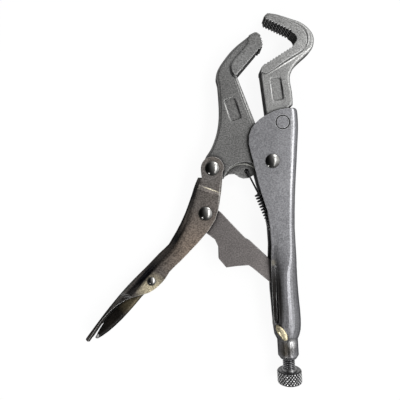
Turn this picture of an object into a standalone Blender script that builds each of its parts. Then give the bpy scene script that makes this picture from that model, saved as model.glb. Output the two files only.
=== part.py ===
"""Locking pliers with a hooked fixed jaw, lying flat in the open position.

X runs across the tool towards the fixed handle's back, Y runs towards the jaws, and Z runs
up through the rivets. Sizes are in metres and angles in radians. Every outline is a list of
shares of its piece's own sizes, read in the tool's middle plane.
"""

import math

import bmesh
import bpy
from mathutils import Matrix, Vector

# Sheet, plate and clearances
SHEET = 0.0020
COLLAR_WALL = 0.0015
COLLAR_LIP_WALL = 0.0010
SEAT_GAP = 0.0003
JAW_THICKNESS = 0.0109
PAD_RISE = 0.0010
WEB_THICKNESS = 0.0034
LINK_THICKNESS = 0.0074
LEVER_SHEET = 0.0014
LEVER_THICKNESS = 0.0066
CUT_OVERRUN = 0.0020

# Rivets
PIVOT_SHANK_RADIUS = 0.0035
LINK_SHANK_RADIUS = 0.0032
LEVER_SHANK_RADIUS = 0.0016
PIVOT_HEAD_RADIUS = 0.0046
LINK_HEAD_RADIUS = 0.0045
LEVER_HEAD_RADIUS = 0.0028
HEAD_HEIGHT = 0.00135
LEVER_HEAD_HEIGHT = 0.0010
JAW_RIVET_RADIUS = 0.0045
JAW_RIVET_SHANK_RADIUS = 0.0034

# Linkage: pivot to pivot, with the tool open
MAIN_PIVOT_X = 0.0479
MAIN_PIVOT_Y = 0.0258
JAW_ARM = 0.0402
JAW_ARM_ANGLE = math.radians(187.0)
HANDLE_ARM = 0.0303
HANDLE_ARM_ANGLE = math.radians(261.6)
LINK_LENGTH = 0.0742
LINK_TIP_RADIUS = 0.0038
LINK_TIP_PLAY = 0.0010

# Screw
SCREW_RADIUS = 0.0040
SCREW_TILT = math.radians(3.4)
NUT_WALL = 0.0008
NUT_LENGTH = 0.0090
KNOB_RADIUS = 0.0083
KNOB_LENGTH = 0.0092
KNOB_STANDOFF = 0.0079
KNOB_FACE_WALL = 0.0020
KNOB_CHAMFER = 0.0013
KNURL_DEPTH = 0.00035
KNURL_COUNT = 44
KNURL_ROWS = 9

# Fixed handle, measured from the main pivot
HANDLE_CHEEK_REACH = 0.0400
HANDLE_FALL = 0.1400
CHEEK_BEND = 0.0042
COLLAR_RADIUS = 0.00695
COLLAR_LIP_RADIUS = 0.00545
COLLAR_LENGTH = 0.0107
COLLAR_LIP = 0.0023
SPRING_TAB_WIDTH = 0.0060
SPRING_TAB_HOLE_RADIUS = 0.0012
SPRING_TAB_RISE = 0.0291
SPRING_TAB_ACROSS = 0.0066
SEAM_HALF_ANGLE = 0.04
COLLAR_CREASE = 0.55
CRIMP_RADIUS = 0.0017
STAKE_RADIUS = 0.0016
STAKE_DEPTH = 0.0004
STAKE_ANGLE = math.radians(101)

# Fixed jaw, measured from the main pivot
FIXED_JAW_REACH = 0.0280
FIXED_JAW_HEIGHT = 0.0985
HEEL_RADIUS = 0.0095
HEEL_PLAY = 0.0010
TOOTH_DEPTH = 0.0011
RAMP_TOOTH_DEPTH = 0.0008
FORGED_ROUND = 0.0018
NECK_ROUND = 0.0010
PAD_ROUND = 0.0008
EDGE_ROUND = 0.0004
TOOTH_ROUND = 0.00012
PLATE_WIDTH = 0.0078
PLATE_LENGTH = 0.0158
PLATE_CORNER = 0.0018
PLATE_DEPTH = 0.0008
PLATE_SLOPE = 0.0008
PAD_OVERHANG = 0.0012

# Movable jaw, measured from the main pivot
MOVABLE_JAW_REACH = 0.0400
MOVABLE_JAW_HEIGHT = 0.0860
HANDLE_LOBE_RADIUS = 0.0070
RELIEF_RADIUS = 0.0146
SPRING_HOLE_RADIUS = 0.0015

# Operating handle, measured from its pivot on the movable jaw
GRIP_LENGTH = 0.1440
GRIP_DEPTH = 0.0200
GRIP_ANGLE = math.radians(233.5)
EAR_RADIUS = 0.0079
EAR_ANGLE = math.radians(88.0)

# Release lever, measured in the operating handle's frame
LEVER_WEB_BEND = 0.0024

# Return spring
WIRE_RADIUS = 0.00045
COIL_RADIUS = 0.0022
COIL_TURNS = 13
COIL_TOP = (-0.0083, -0.0218)
COIL_SHARE = 0.70
POINTS_PER_TURN = 10

ROUND_SEGMENTS = 28
BEAD_SEGMENTS = 10
DOME_STEPS = 4
BEND_STEPS = 5
RIM_STEPS = 3
NOSE_POINTS = 7
MITRE_LIMIT = 0.6
WEB_STEPS = 2
WALL_PLACE_SHARES = (0.0, 0.12, 0.26, 0.50, 0.75)
WALL_STEPS = len(WALL_PLACE_SHARES)

# Half thicknesses and heights that follow from the sizes above
JAW_HALF = JAW_THICKNESS / 2
PAD_HALF = JAW_HALF + PAD_RISE
CHEEK_HALF = JAW_HALF + SEAT_GAP + SHEET
LINK_HALF = LINK_THICKNESS / 2
GRIP_HALF = LINK_HALF + SEAT_GAP + SHEET
LEVER_HALF = LEVER_THICKNESS / 2
MID_HEIGHT = CHEEK_HALF + SEAT_GAP + HEAD_HEIGHT

# The fixed handle's stations, from its top to its collar: how far up from the main pivot, its
# front edge and its back, then how far it has turned from a channel into a round tube, the half
# angles of its slit and of the crease beside it, and how far the margin between them is pressed in
SHELL_SHARES = (
    (0.252, 0.345, 0.400, 0.0, 0.8, 0.9, 1.0),
    (0.249, 0.230, 0.415, 0.0, 0.8, 0.9, 1.0),
    (0.244, 0.125, 0.424, 0.0, 0.8, 0.9, 1.0),
    (0.234, 0.020, 0.431, 0.0, 0.8, 0.9, 1.0),
    (0.216, -0.115, 0.437, 0.0, 0.8, 0.9, 1.0),
    (0.197, -0.215, 0.441, 0.0, 0.8, 0.9, 1.0),
    (0.177, -0.287, 0.444, 0.0, 0.8, 0.9, 1.0),
    (0.154, -0.345, 0.445, 0.0, 0.8, 0.9, 1.0),
    (0.118, -0.388, 0.440, 0.0, 0.8, 0.9, 1.0),
    (0.081, -0.391, 0.433, 0.0, 0.8, 0.9, 1.0),
    (0.047, -0.364, 0.427, 0.0, 0.8, 0.9, 1.0),
    (-0.002, -0.316, 0.420, 0.0, 0.8, 0.9, 1.0),
    (-0.046, -0.279, 0.411, 0.0, 0.8, 0.9, 1.0),
    (-0.102, -0.229, 0.402, 0.0, 0.8, 0.9, 1.0),
    (-0.161, -0.168, 0.394, 0.0, 0.8, 0.9, 1.0),
    (-0.236, -0.081, 0.389, 0.0, 0.8, 0.9, 1.0),
    (-0.318, -0.033, 0.391, 0.04, 0.8, 0.9, 1.0),
    (-0.400, -0.013, 0.411, 0.16, 0.8, 0.9, 1.0),
    (-0.452, -0.018, 0.426, 0.32, 0.8, 0.9, 1.0),
    (-0.484, -0.019, 0.434, 0.48, 0.76, 0.86, 1.0),
    (-0.503, -0.015, 0.438, 0.68, 0.74, 0.90, 1.0),
    (-0.523, -0.009, 0.443, 0.86, 0.73, 0.93, 1.0),
    (-0.548, -0.004, 0.448, 0.97, 0.72, 0.95, 1.0),
    (-0.580, 0.001, 0.455, 1.0, 0.71, 0.94, 1.0),
    (-0.623, 0.007, 0.466, 1.0, 0.66, 0.92, 1.0),
    (-0.670, 0.020, 0.482, 1.0, 0.53, 0.89, 1.0),
    (-0.715, 0.031, 0.499, 1.0, 0.44, 0.87, 1.0),
    (-0.756, 0.041, 0.509, 1.0, 0.35, 0.84, 1.0),
    (-0.782, 0.046, 0.511, 1.0, 0.27, 0.75, 0.75),
    (-0.808, 0.052, 0.507, 1.0, 0.16, 0.62, 0.30),
    (-0.834, 0.068, 0.486, 1.0, 0.08, 0.55, 0.0),
)
PRESSED_FOOT_SHARES = (0.26, 0.10)
FLUSH_RIVET_SHARES = (0.169, 0.1836)
COLLAR_PLACE_SHARES = (0.28825, -0.855714)
# The crimp beside the collar: how far up, its angle from the slit, and its radius
CRIMP_SHARES = (
    (-0.774, 0.66, 0.45), (-0.783, 0.73, 0.75), (-0.794, 0.82, 0.95), (-0.806, 0.92, 1.0),
    (-0.818, 1.03, 1.0), (-0.830, 1.16, 0.90), (-0.840, 1.28, 0.70), (-0.848, 1.38, 0.45),
)

# The fixed jaw, as shares of its reach and height
FIXED_BACK_SHARES = (
    (-0.148, 0.955), (-0.190, 0.980), (-0.112, 1.004), (-0.010, 1.004), (0.128, 0.999),
    (0.309, 0.984), (0.480, 0.968), (0.672, 0.949), (0.836, 0.918), (0.962, 0.877),
    (1.016, 0.833), (0.999, 0.788), (0.938, 0.754), (0.806, 0.718), (0.655, 0.679),
    (0.540, 0.643), (0.475, 0.610), (0.440, 0.575), (0.453, 0.529), (0.490, 0.474),
    (0.510, 0.384), (0.430, 0.364), (0.455, 0.300), (0.490, 0.250),
)
FIXED_THROAT_SHARES = ((0.464, 0.873), (0.545, 0.856), (0.590, 0.833), (0.578, 0.812), (0.488, 0.777))
FIXED_CHIN_SHARES = ((-0.172, 0.657), (-0.250, 0.634), (-0.262, 0.612), (-0.250, 0.586))
FIXED_NECK_SHARE = (-0.120, 0.317)
FIXED_PAD_SHARES = (
    (-0.236, 0.600), (-0.150, 0.590), (-0.055, 0.601), (0.120, 0.633), (0.305, 0.672),
    (0.560, 0.717), (0.735, 0.748), (0.822, 0.775), (0.842, 0.806), (0.836, 0.838),
    (0.805, 0.868), (0.738, 0.896), (0.613, 0.925), (0.471, 0.943), (0.281, 0.967),
    (0.068, 0.986), (-0.080, 0.989), (-0.168, 0.976),
)
FIXED_PLATE_SHARE = (0.121, 0.490)
FIXED_PLATE_TILT = math.radians(8.0)
TOP_TEETH = 9
RAMP_TEETH = 10

# The movable jaw, as shares of its reach and height
MOVABLE_BACK_SHARES = (
    (-0.385, 0.975), (-0.458, 0.948), (-0.585, 0.901), (-0.706, 0.845),
    (-0.800, 0.788), (-0.879, 0.733), (-0.923, 0.685), (-0.931, 0.646), (-0.904, 0.599),
    (-0.883, 0.477), (-0.876, 0.392), (-0.885, 0.307), (-0.918, 0.221), (-0.967, 0.148),
    (-1.022, 0.090), (-1.095, 0.039),
)
MOVABLE_TIP_SHARES = ((-0.190, 0.972), (-0.156, 0.925), (-0.165, 0.880), (-0.242, 0.855))
MOVABLE_NOSE_SHARES = ((-0.190, 0.972), (-0.232, 0.992), (-0.290, 0.998), (-0.385, 0.975))
MOVABLE_NECK_SHARES = ((-0.165, 0.125), (-0.272, 0.295), (-0.565, 0.640))
MOVABLE_PAD_SHARES = (
    (-0.590, 0.662), (-0.632, 0.662), (-0.680, 0.698), (-0.689, 0.733), (-0.664, 0.766),
    (-0.600, 0.806), (-0.503, 0.856), (-0.432, 0.894), (-0.405, 0.924), (-0.385, 0.975),
)
MOVABLE_CORE_SHARES = (
    (-0.600, 0.690), (-0.300, 0.860), (-0.225, 0.885), (-0.205, 0.925), (-0.240, 0.955),
    (-0.320, 0.965),
)
RELIEF_CENTRE_SHARES = (-0.445, -0.176)
WEB_SHARES = (
    (-0.816, -0.127), (-0.760, -0.112), (-0.705, -0.097), (-0.607, -0.094), (-0.531, -0.118),
    (-0.457, -0.130), (-0.371, -0.126), (-0.259, -0.097), (-0.180, -0.040), (-0.240, 0.050),
    (-0.500, 0.060), (-0.760, -0.010),
)
SPRING_HOLE_SHARE = (-0.413, -0.071)
MOVABLE_PLATE_SHARE = (-0.650, 0.405)
MOVABLE_PLATE_TILT = math.radians(20.5)
TIP_TEETH = 6

# The operating handle's stations below its ears, as shares of the grip's length and depth: its
# web's place along and across, its free edge's place along and across, then how far
# its walls spread from the link's width (0) to the jaw's (1), and its bend as a share of its half
GRIP_SHARES = (
    (0.046, -0.242, -0.015, 0.353, 1.0, 0.10),
    (0.072, -0.199, 0.010, 0.479, 1.0, 0.45),
    (0.101, -0.150, 0.061, 0.703, 1.0, 0.60),
    (0.122, -0.108, 0.079, 0.772, 0.30, 0.64),
    (0.155, -0.024, 0.106, 0.882, 0.0, 0.70),
    (0.200, 0.074, 0.140, 1.000, 0.0, 0.78),
    (0.238, 0.153, 0.183, 1.100, 0.0, 0.85),
    (0.290, 0.235, 0.240, 1.135, 0.0, 1.05),
    (0.340, 0.290, 0.310, 1.100, 0.0, 1.25),
    (0.405, 0.338, 0.400, 1.020, 0.0, 1.40),
    (0.432, 0.308, 0.430, 0.990, 0.0, 1.45),
    (0.462, 0.266, 0.462, 0.945, 0.0, 1.45),
    (0.500, 0.230, 0.500, 0.910, 0.0, 1.40),
    (0.535, 0.200, 0.535, 0.930, 0.0, 1.35),
    (0.560, 0.175, 0.560, 0.922, 0.0, 1.30),
    (0.585, 0.147, 0.585, 0.892, 0.0, 1.28),
    (0.610, 0.119, 0.610, 0.845, 0.0, 1.25),
    (0.633, 0.094, 0.633, 0.775, 0.0, 1.20),
    (0.652, 0.076, 0.652, 0.680, 0.05, 1.15),
    (0.672, 0.059, 0.672, 0.555, 0.12, 1.10),
    (0.696, 0.041, 0.696, 0.420, 0.22, 1.05),
    (0.725, 0.023, 0.725, 0.290, 0.32, 1.0),
    (0.763, 0.006, 0.763, 0.175, 0.43, 0.92),
    (0.805, -0.007, 0.805, 0.100, 0.50, 0.85),
    (0.848, -0.014, 0.848, 0.060, 0.56, 0.80),
    (0.901, -0.017, 0.901, 0.055, 0.60, 0.80),
    (0.964, -0.015, 0.964, 0.090, 0.55, 0.80),
    (0.988, -0.012, 0.984, 0.100, 0.50, 0.80),
)
EAR_STEPS = 7
WEB_START = 1

# The release lever's stations in the same frame: place along, web across, free edge across
LEVER_SHARES = (
    (0.480, 0.700, 0.620),
    (0.497, 0.735, 0.570),
    (0.530, 0.790, 0.510),
    (0.585, 0.795, 0.435),
    (0.630, 0.730, 0.405),
    (0.675, 0.665, 0.365),
    (0.720, 0.648, 0.295),
    (0.770, 0.618, 0.215),
    (0.820, 0.578, 0.165),
    (0.867, 0.520, 0.150),
    (0.905, 0.455, 0.160),
    (0.935, 0.385, 0.190),
    (0.957, 0.315, 0.232),
)
LEVER_PIVOT_SHARES = (0.585, 0.611)

# The toggle link, as shares of its length and of the grip's depth
LINK_UPPER_SHARES = (
    (0.094, 0.390), (0.316, 0.345), (0.422, 0.330), (0.462, 0.375), (0.684, 0.385), (0.860, 0.290),
)
LINK_LOWER_SHARES = (
    (0.897, -0.080), (0.855, -0.178), (0.642, -0.235), (0.606, -0.262), (0.538, -0.540),
    (0.474, -0.832), (0.371, -0.790), (0.298, -0.520), (0.225, -0.412), (0.129, -0.455),
)
LINK_EYE_RADIUS = 0.0082

BARE_STEEL = (0.27, 0.27, 0.265)
WARM_STEEL = (0.24, 0.225, 0.20)
BRIGHT_STEEL = (0.50, 0.49, 0.47)
DARK_STEEL = (0.07, 0.07, 0.075)
SPRING_STEEL = (0.015, 0.015, 0.018)


def clear_scene():
    for thing in list(bpy.data.objects):
        bpy.data.objects.remove(thing, do_unlink=True)


def metal(name, colour, roughness, metallic):
    made = bpy.data.materials.new(name)
    made.use_nodes = True
    shader = made.node_tree.nodes["Principled BSDF"]
    shader.inputs["Base Color"].default_value = (*colour, 1)
    shader.inputs["Roughness"].default_value = roughness
    shader.inputs["Metallic"].default_value = metallic
    return made


def toward(angle):
    return Vector((math.cos(angle), math.sin(angle)))


def turned_left(direction):
    return Vector((-direction.y, direction.x))


def scaled(shares, origin, width, height):
    """Shares of a width along X and a height along Y, from an origin."""
    return [origin + Vector((x * width, y * height)) for x, y in shares]


def curve_through(points, steps):
    """Points along a smooth curve through the given ones, both ends included."""
    padded = [2 * points[0] - points[1], *points, 2 * points[-1] - points[-2]]
    made = []
    for a, b, c, d in zip(padded, padded[1:], padded[2:], padded[3:]):
        for step in range(steps):
            t = step / steps
            made.append(
                (2 * b + (c - a) * t + (2 * a - 5 * b + 4 * c - d) * t**2 + (3 * b - a - 3 * c + d) * t**3) / 2
            )
    return made + [points[-1].copy()]


def arc(centre, radius, start, end, steps):
    return [centre + radius * toward(start + (end - start) * i / steps) for i in range(steps + 1)]


def toothed(path, count, depth):
    """Saw teeth along a path, cut to its right-hand side, so that the tips lie on the path."""
    lengths = [0.0]
    for a, b in zip(path, path[1:]):
        lengths.append(lengths[-1] + (b - a).length)

    def along(distance):
        for a, b, start, end in zip(path, path[1:], lengths, lengths[1:]):
            if distance <= end or end == lengths[-1]:
                direction = (b - a).normalized()
                return a + direction * (distance - start), direction

    pitch = lengths[-1] / count
    made = []
    for i in range(count):
        tip, _ = along(i * pitch)
        root, direction = along((i + 0.5) * pitch)
        made += [tip, root - turned_left(direction) * depth]
    return made + [path[-1].copy()]


def prism(outline, half):
    """A plain plate of this outline, taken counterclockwise."""
    mesh = bmesh.new()
    low = [mesh.verts.new((p.x, p.y, -half)) for p in outline]
    high = [mesh.verts.new((p.x, p.y, half)) for p in outline]
    count = len(outline)
    mesh.faces.new(low[::-1])
    mesh.faces.new(high)
    for i in range(count):
        j = (i + 1) % count
        mesh.faces.new((low[i], low[j], high[j], high[i]))
    return mesh


def eased(points, radius, last_radius=None):
    """Pairs of a place on an outline and the radius that rounds its rims there."""
    if last_radius is None:
        return [(point, radius) for point in points]
    steps = len(points) - 1
    return [(point, radius + (last_radius - radius) * i / steps) for i, point in enumerate(points)]


def mitre(before, point, after):
    """The inward step at a corner that moves both its sides by one unit, kept short at sharp tips."""
    arriving = turned_left((point - before).normalized())
    leaving = turned_left((after - point).normalized())
    return (arriving + leaving) / max(1 + arriving.dot(leaving), MITRE_LIMIT)


def rounded_plate(rim, half):
    """A plate with rounded rims, from eased pairs taken counterclockwise."""
    mesh = bmesh.new()
    count = len(rim)
    places = [place for place, radius in rim]
    steps = [mitre(places[i - 1], places[i], places[(i + 1) % count]) for i in range(count)]
    rings = []
    for side in (-1, 1):
        for k in range(RIM_STEPS + 1):
            turn = math.pi / 2 * (k if side > 0 else RIM_STEPS - k) / RIM_STEPS
            ring = []
            for (place, radius), step in zip(rim, steps):
                at = place + step * (radius * (1 - math.cos(turn)))
                height = half - radius * (1 - math.sin(turn))
                ring.append(mesh.verts.new((at.x, at.y, side * height)))
            rings.append(ring)
    for below, above in zip(rings, rings[1:]):
        for i in range(count):
            j = (i + 1) % count
            mesh.faces.new((below[i], below[j], above[j], above[i]))
    mesh.faces.new(rings[0][::-1])
    mesh.faces.new(rings[-1])
    return mesh


def rounded_rectangle(centre, width, length, corner, tilt, steps=4):
    made = []
    for sign_x, sign_y, start in ((1, 1, 0), (-1, 1, 90), (-1, -1, 180), (1, -1, 270)):
        middle = Vector((sign_x * (width / 2 - corner), sign_y * (length / 2 - corner)))
        made += arc(middle, corner, math.radians(start), math.radians(start + 90), steps)
    turn = Matrix.Rotation(tilt, 2)
    return [centre + turn @ point for point in made]


def lathe(profile, segments):
    """A solid turned about Z from (radius, height) points, listed from its foot to its top."""
    mesh = bmesh.new()
    rings = []
    for radius, height in profile:
        if radius == 0:
            rings.append([mesh.verts.new((0, 0, height))] * segments)
            continue
        ring = []
        for i in range(segments):
            direction = toward(2 * math.pi * i / segments)
            ring.append(mesh.verts.new((radius * direction.x, radius * direction.y, height)))
        rings.append(ring)
    for below, above in zip(rings, rings[1:]):
        for i in range(segments):
            j = (i + 1) % segments
            corners = []
            for vertex in (below[i], below[j], above[j], above[i]):
                if vertex not in corners:
                    corners.append(vertex)
            if len(corners) > 2:
                mesh.faces.new(corners)
    return mesh


def tube(profile, segments):
    """A turned ring whose profile closes on itself."""
    mesh = bmesh.new()
    rings = []
    for radius, height in profile:
        ring = []
        for i in range(segments):
            direction = toward(2 * math.pi * i / segments)
            ring.append(mesh.verts.new((radius * direction.x, radius * direction.y, height)))
        rings.append(ring)
    for below, above in zip(rings, rings[1:] + rings[:1]):
        for i in range(segments):
            j = (i + 1) % segments
            mesh.faces.new((below[i], below[j], above[j], above[i]))
    return mesh


def bent_sheet(outer, inner, web_from=0, web_start=0, web_end=0):
    """A stamped sheet from two grids of points, one row for each station from its head down.

    Rows before web_from have walls only: their points from web_start to web_end stay out.
    """
    mesh = bmesh.new()
    count = len(outer[0])

    def used(row, column):
        return row >= web_from or not web_start < column < web_end

    grids = []
    for grid in (outer, inner):
        grids.append([
            [mesh.verts.new(point) if used(i, j) else None for j, point in enumerate(row)]
            for i, row in enumerate(grid)
        ])
    out, into = grids
    last = len(outer) - 1

    def strip(a, b, c, d):
        mesh.faces.new((a, b, c, d))

    for i in range(last):
        for j in range(count - 1):
            if i < web_from and web_start <= j < web_end:
                continue
            strip(out[i][j], out[i][j + 1], out[i + 1][j + 1], out[i + 1][j])
            strip(into[i][j + 1], into[i][j], into[i + 1][j], into[i + 1][j + 1])
        strip(into[i][0], out[i][0], out[i + 1][0], into[i + 1][0])
        strip(out[i][-1], into[i][-1], into[i + 1][-1], out[i + 1][-1])
        if i < web_from:
            strip(out[i][web_start], into[i][web_start], into[i + 1][web_start], out[i + 1][web_start])
            strip(into[i][web_end], out[i][web_end], out[i + 1][web_end], into[i + 1][web_end])
    for j in range(count - 1):
        strip(out[last][j], out[last][j + 1], into[last][j + 1], into[last][j])
        if web_from and web_start <= j < web_end:
            strip(out[web_from][j + 1], out[web_from][j], into[web_from][j], into[web_from][j + 1])
        else:
            strip(out[0][j + 1], out[0][j], into[0][j], into[0][j + 1])
    bmesh.ops.recalc_face_normals(mesh, faces=mesh.faces)
    return mesh


def channel_half(depth, half, bend, wall):
    """Half of a channel's section, from its free edge to its web's middle, as (depth from the web's
    outside, height) pairs of its outer and inner faces."""
    high = min(bend, half)
    turn = math.pi / 2
    if depth < bend:
        turn = math.acos(1 - depth / bend)
    outer, inner = [], []
    for i, share in enumerate(WALL_PLACE_SHARES):
        reach = bend + (depth - bend) * (1 - share) if depth > bend else None
        if reach is None:
            angle = turn * (1 - i / (WALL_STEPS + BEND_STEPS))
            outer.append((bend * (1 - math.cos(angle)), half - high + high * math.sin(angle)))
            inner.append((
                wall + (bend - wall) * (1 - math.cos(angle)),
                half - high + (high - wall) * math.sin(angle),
            ))
        else:
            outer.append((reach, half))
            inner.append((reach, half - wall))
    for i in range(BEND_STEPS + 1):
        if depth > bend:
            angle = turn * (1 - i / BEND_STEPS)
        else:
            angle = turn * (1 - (i + WALL_STEPS) / (WALL_STEPS + BEND_STEPS))
        outer.append((bend * (1 - math.cos(angle)), half - high + high * math.sin(angle)))
        inner.append((
            wall + (bend - wall) * (1 - math.cos(angle)),
            half - high + (high - wall) * math.sin(angle),
        ))
    for i in range(1, WEB_STEPS + 1):
        height = (half - high) * (1 - i / WEB_STEPS)
        outer.append((0.0, height))
        inner.append((wall, height))
    return outer, inner


def round_half(radius, slit, crease, pressed, wall):
    """Half of a slit tube's section, point for point like a channel's: the margin beside its slit,
    pressed in below the round from a crease on, then the round."""
    tip = radius * math.sin(slit)
    top = radius * math.sin(crease)
    far = radius + radius * math.cos(crease)
    foot_along, foot_up = PRESSED_FOOT_SHARES
    foot = (far + (2 * radius - far) * foot_along, tip + (top - tip) * foot_up)
    lip = (2 * radius, tip)

    def on_round(angle, reach):
        return radius + reach * math.cos(angle), reach * math.sin(angle)

    def between(a, b, share):
        return a[0] + (b[0] - a[0]) * share, a[1] + (b[1] - a[1]) * share

    inside = radius - wall
    outer = [
        between(on_round(slit, radius), lip, pressed),
        between(on_round((slit + crease) / 2, radius), foot, pressed),
    ]
    inner = [
        between(on_round(slit, inside), (lip[0], lip[1] - wall), pressed),
        between(on_round((slit + crease) / 2, inside), (foot[0] - wall / 2, foot[1] - wall), pressed),
    ]
    rest = WALL_STEPS + BEND_STEPS + WEB_STEPS - 2
    for i in range(rest + 1):
        angle = crease + (math.pi - crease) * i / rest
        outer.append(on_round(angle, radius))
        inner.append(on_round(angle, inside))
    return outer, inner


def mirrored(half):
    return half + [(depth, -height) for depth, height in half[-2::-1]]


class Tool:
    """The pivots' places in the tool's middle plane, with the tool open."""

    def __init__(self):
        self.main = Vector((MAIN_PIVOT_X, MAIN_PIVOT_Y))
        self.handle = self.main + JAW_ARM * toward(JAW_ARM_ANGLE)
        self.link = self.handle + HANDLE_ARM * toward(HANDLE_ARM_ANGLE)
        self.screw_heading = toward(SCREW_TILT - math.pi / 2)
        across, up = COLLAR_PLACE_SHARES
        self.screw_base = self.main + Vector((across * HANDLE_CHEEK_REACH, up * HANDLE_FALL))
        offset = self.screw_base - self.link
        middle = -offset.dot(self.screw_heading)
        spread = offset.length_squared - middle**2
        self.tip = self.screw_base + self.screw_heading * (middle + math.sqrt(LINK_LENGTH**2 - spread))
        self.screw = self.tip + self.screw_heading * (LINK_TIP_RADIUS + LINK_TIP_PLAY)
        self.grip_along = toward(GRIP_ANGLE)
        self.grip_across = turned_left(self.grip_along)
        self.lever = self.in_grip(*LEVER_PIVOT_SHARES)
        lip = COLLAR_LENGTH + COLLAR_LIP
        self.knob = self.screw_base + self.screw_heading * (lip + KNOB_STANDOFF)
        across, up = SPRING_HOLE_SHARE
        self.spring_hole = self.main + Vector((across * MOVABLE_JAW_REACH, up * MOVABLE_JAW_HEIGHT))
        self.coil_top = self.main + Vector(COIL_TOP)
        self.spring_anchor = Vector((self.main.x + SPRING_TAB_ACROSS, self.tip.y + SPRING_TAB_RISE))

    def in_grip(self, along, across):
        return self.handle + self.grip_along * (along * GRIP_LENGTH) + self.grip_across * (across * GRIP_DEPTH)


def axis_empty(name, place, parent=None):
    made = bpy.data.objects.new(name, None)
    made.empty_display_size = PIVOT_HEAD_RADIUS
    bpy.context.collection.objects.link(made)
    made.parent = parent
    if parent is None:
        made.location = (place.x, place.y, MID_HEIGHT)
    else:
        made.location = (place.x - parent["x"], place.y - parent["y"], 0)
    made["x"] = place.x
    made["y"] = place.y
    return made


def piece(name, mesh, axis, material, sharp=35):
    """An object whose origin is its joint's axis, from a mesh in the tool's plane."""
    bmesh.ops.translate(mesh, verts=mesh.verts, vec=(-axis["x"], -axis["y"], 0))
    data = bpy.data.meshes.new(name)
    mesh.to_mesh(data)
    mesh.free()
    data.materials.append(material)
    data.shade_smooth()
    data.set_sharp_from_angle(angle=math.radians(sharp))
    made = bpy.data.objects.new(name, data)
    made.parent = axis
    bpy.context.collection.objects.link(made)
    return made


def combine(target, name, mesh, axis, operation):
    """Cuts or joins a helper shape, which stays hidden in the scene."""
    helper = piece(name, mesh, axis, target.data.materials[0])
    helper.hide_render = True
    helper.display_type = "WIRE"
    change = target.modifiers.new(name, "BOOLEAN")
    change.operation = operation
    change.object = helper
    change.solver = "EXACT"


def drill(target, name, place, radius, half, axis):
    mesh = prism(arc(place, radius, 0, 2 * math.pi, ROUND_SEGMENTS)[:-1], half + CUT_OVERRUN)
    combine(target, name, mesh, axis, "DIFFERENCE")


def plate_recess(target, name, centre, tilt, axis):
    """A shallow flat-floored recess with sloping walls in the jaw's upper face."""
    mesh = bmesh.new()
    rings = []
    for height, spread in ((-PLATE_DEPTH, -PLATE_SLOPE), (-PLATE_DEPTH / 4, -PLATE_SLOPE / 2), (0, 0)):
        outline = rounded_rectangle(
            centre, PLATE_WIDTH + 2 * spread, PLATE_LENGTH + 2 * spread, PLATE_CORNER + spread, tilt
        )
        rings.append([mesh.verts.new((p.x, p.y, JAW_HALF + height)) for p in outline])
    rings.append([mesh.verts.new(v.co + Vector((0, 0, PLATE_DEPTH))) for v in rings[-1]])
    count = len(rings[0])
    for below, above in zip(rings, rings[1:]):
        for i in range(count):
            j = (i + 1) % count
            mesh.faces.new((below[i], below[j], above[j], above[i]))
    mesh.faces.new(rings[0][::-1])
    mesh.faces.new(rings[-1])
    combine(target, name, mesh, axis, "DIFFERENCE")


def meets_circle(point, direction, centre, radius):
    """Where a ray first comes within a circle."""
    offset = point - centre
    along = offset.dot(direction)
    return point - direction * (along + math.sqrt(along**2 - offset.length_squared + radius**2))


def angle_about(centre, point):
    return math.atan2(point.y - centre.y, point.x - centre.x)


def flush_rivet_place(tool):
    across, up = FLUSH_RIVET_SHARES
    return tool.main + Vector((across * HANDLE_CHEEK_REACH, up * HANDLE_FALL))


def fixed_jaw(tool, axis, material):
    def at(shares):
        return scaled(shares, tool.main, FIXED_JAW_REACH, FIXED_JAW_HEIGHT)

    back = curve_through(at(FIXED_BACK_SHARES[1:]), 2)
    throat = curve_through(at(FIXED_THROAT_SHARES), 2)
    chin = curve_through(at(FIXED_CHIN_SHARES), 2)
    neck = at([FIXED_NECK_SHARE])[0]
    floor = HEEL_RADIUS + HEEL_PLAY
    corner = meets_circle(neck, (neck - chin[-1]).normalized(), tool.main, floor)
    foot = arc(tool.main, floor, angle_about(tool.main, corner), math.radians(42), 8)
    front_tip = at([FIXED_BACK_SHARES[0]])[0]
    inset = Vector((PAD_OVERHANG, 0))
    lift = Vector((0, PAD_OVERHANG))
    core = (
        [front_tip + lift + 2 * inset, throat[0] + 2 * lift, throat[0] + lift + inset]
        + [p + inset for p in throat[1:-1]]
        + [throat[-1] + inset - lift, throat[-1] - 2 * lift, chin[0] - 2 * lift + inset, chin[1] + inset]
    )
    rim = eased(back[:NOSE_POINTS:-1], FORGED_ROUND)
    rim += eased(back[NOSE_POINTS::-1], FORGED_ROUND, EDGE_ROUND)
    rim += eased(core + chin[-2:] + foot, EDGE_ROUND)
    jaw = piece("fixed_jaw", rounded_plate(rim, JAW_HALF), axis, material)
    teeth = toothed([throat[0], front_tip], TOP_TEETH, TOOTH_DEPTH)
    ramp = toothed([chin[0], throat[-1]], RAMP_TEETH, RAMP_TOOTH_DEPTH)
    pad_edge = curve_through(at(FIXED_PAD_SHARES), 2)
    bite = teeth[::-1] + throat[1:-1] + ramp[::-1] + chin[1:-1]
    pad = eased(bite, TOOTH_ROUND) + eased(pad_edge, PAD_ROUND)
    combine(jaw, "fixed_jaw_pad", rounded_plate(pad, PAD_HALF), axis, "UNION")
    plate_recess(jaw, "fixed_jaw_plate_cutter", at([FIXED_PLATE_SHARE])[0], FIXED_PLATE_TILT, axis)
    drill(
        jaw, "fixed_jaw_rivet_bore", flush_rivet_place(tool),
        JAW_RIVET_SHANK_RADIUS + SEAT_GAP, PAD_HALF, axis,
    )


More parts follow.
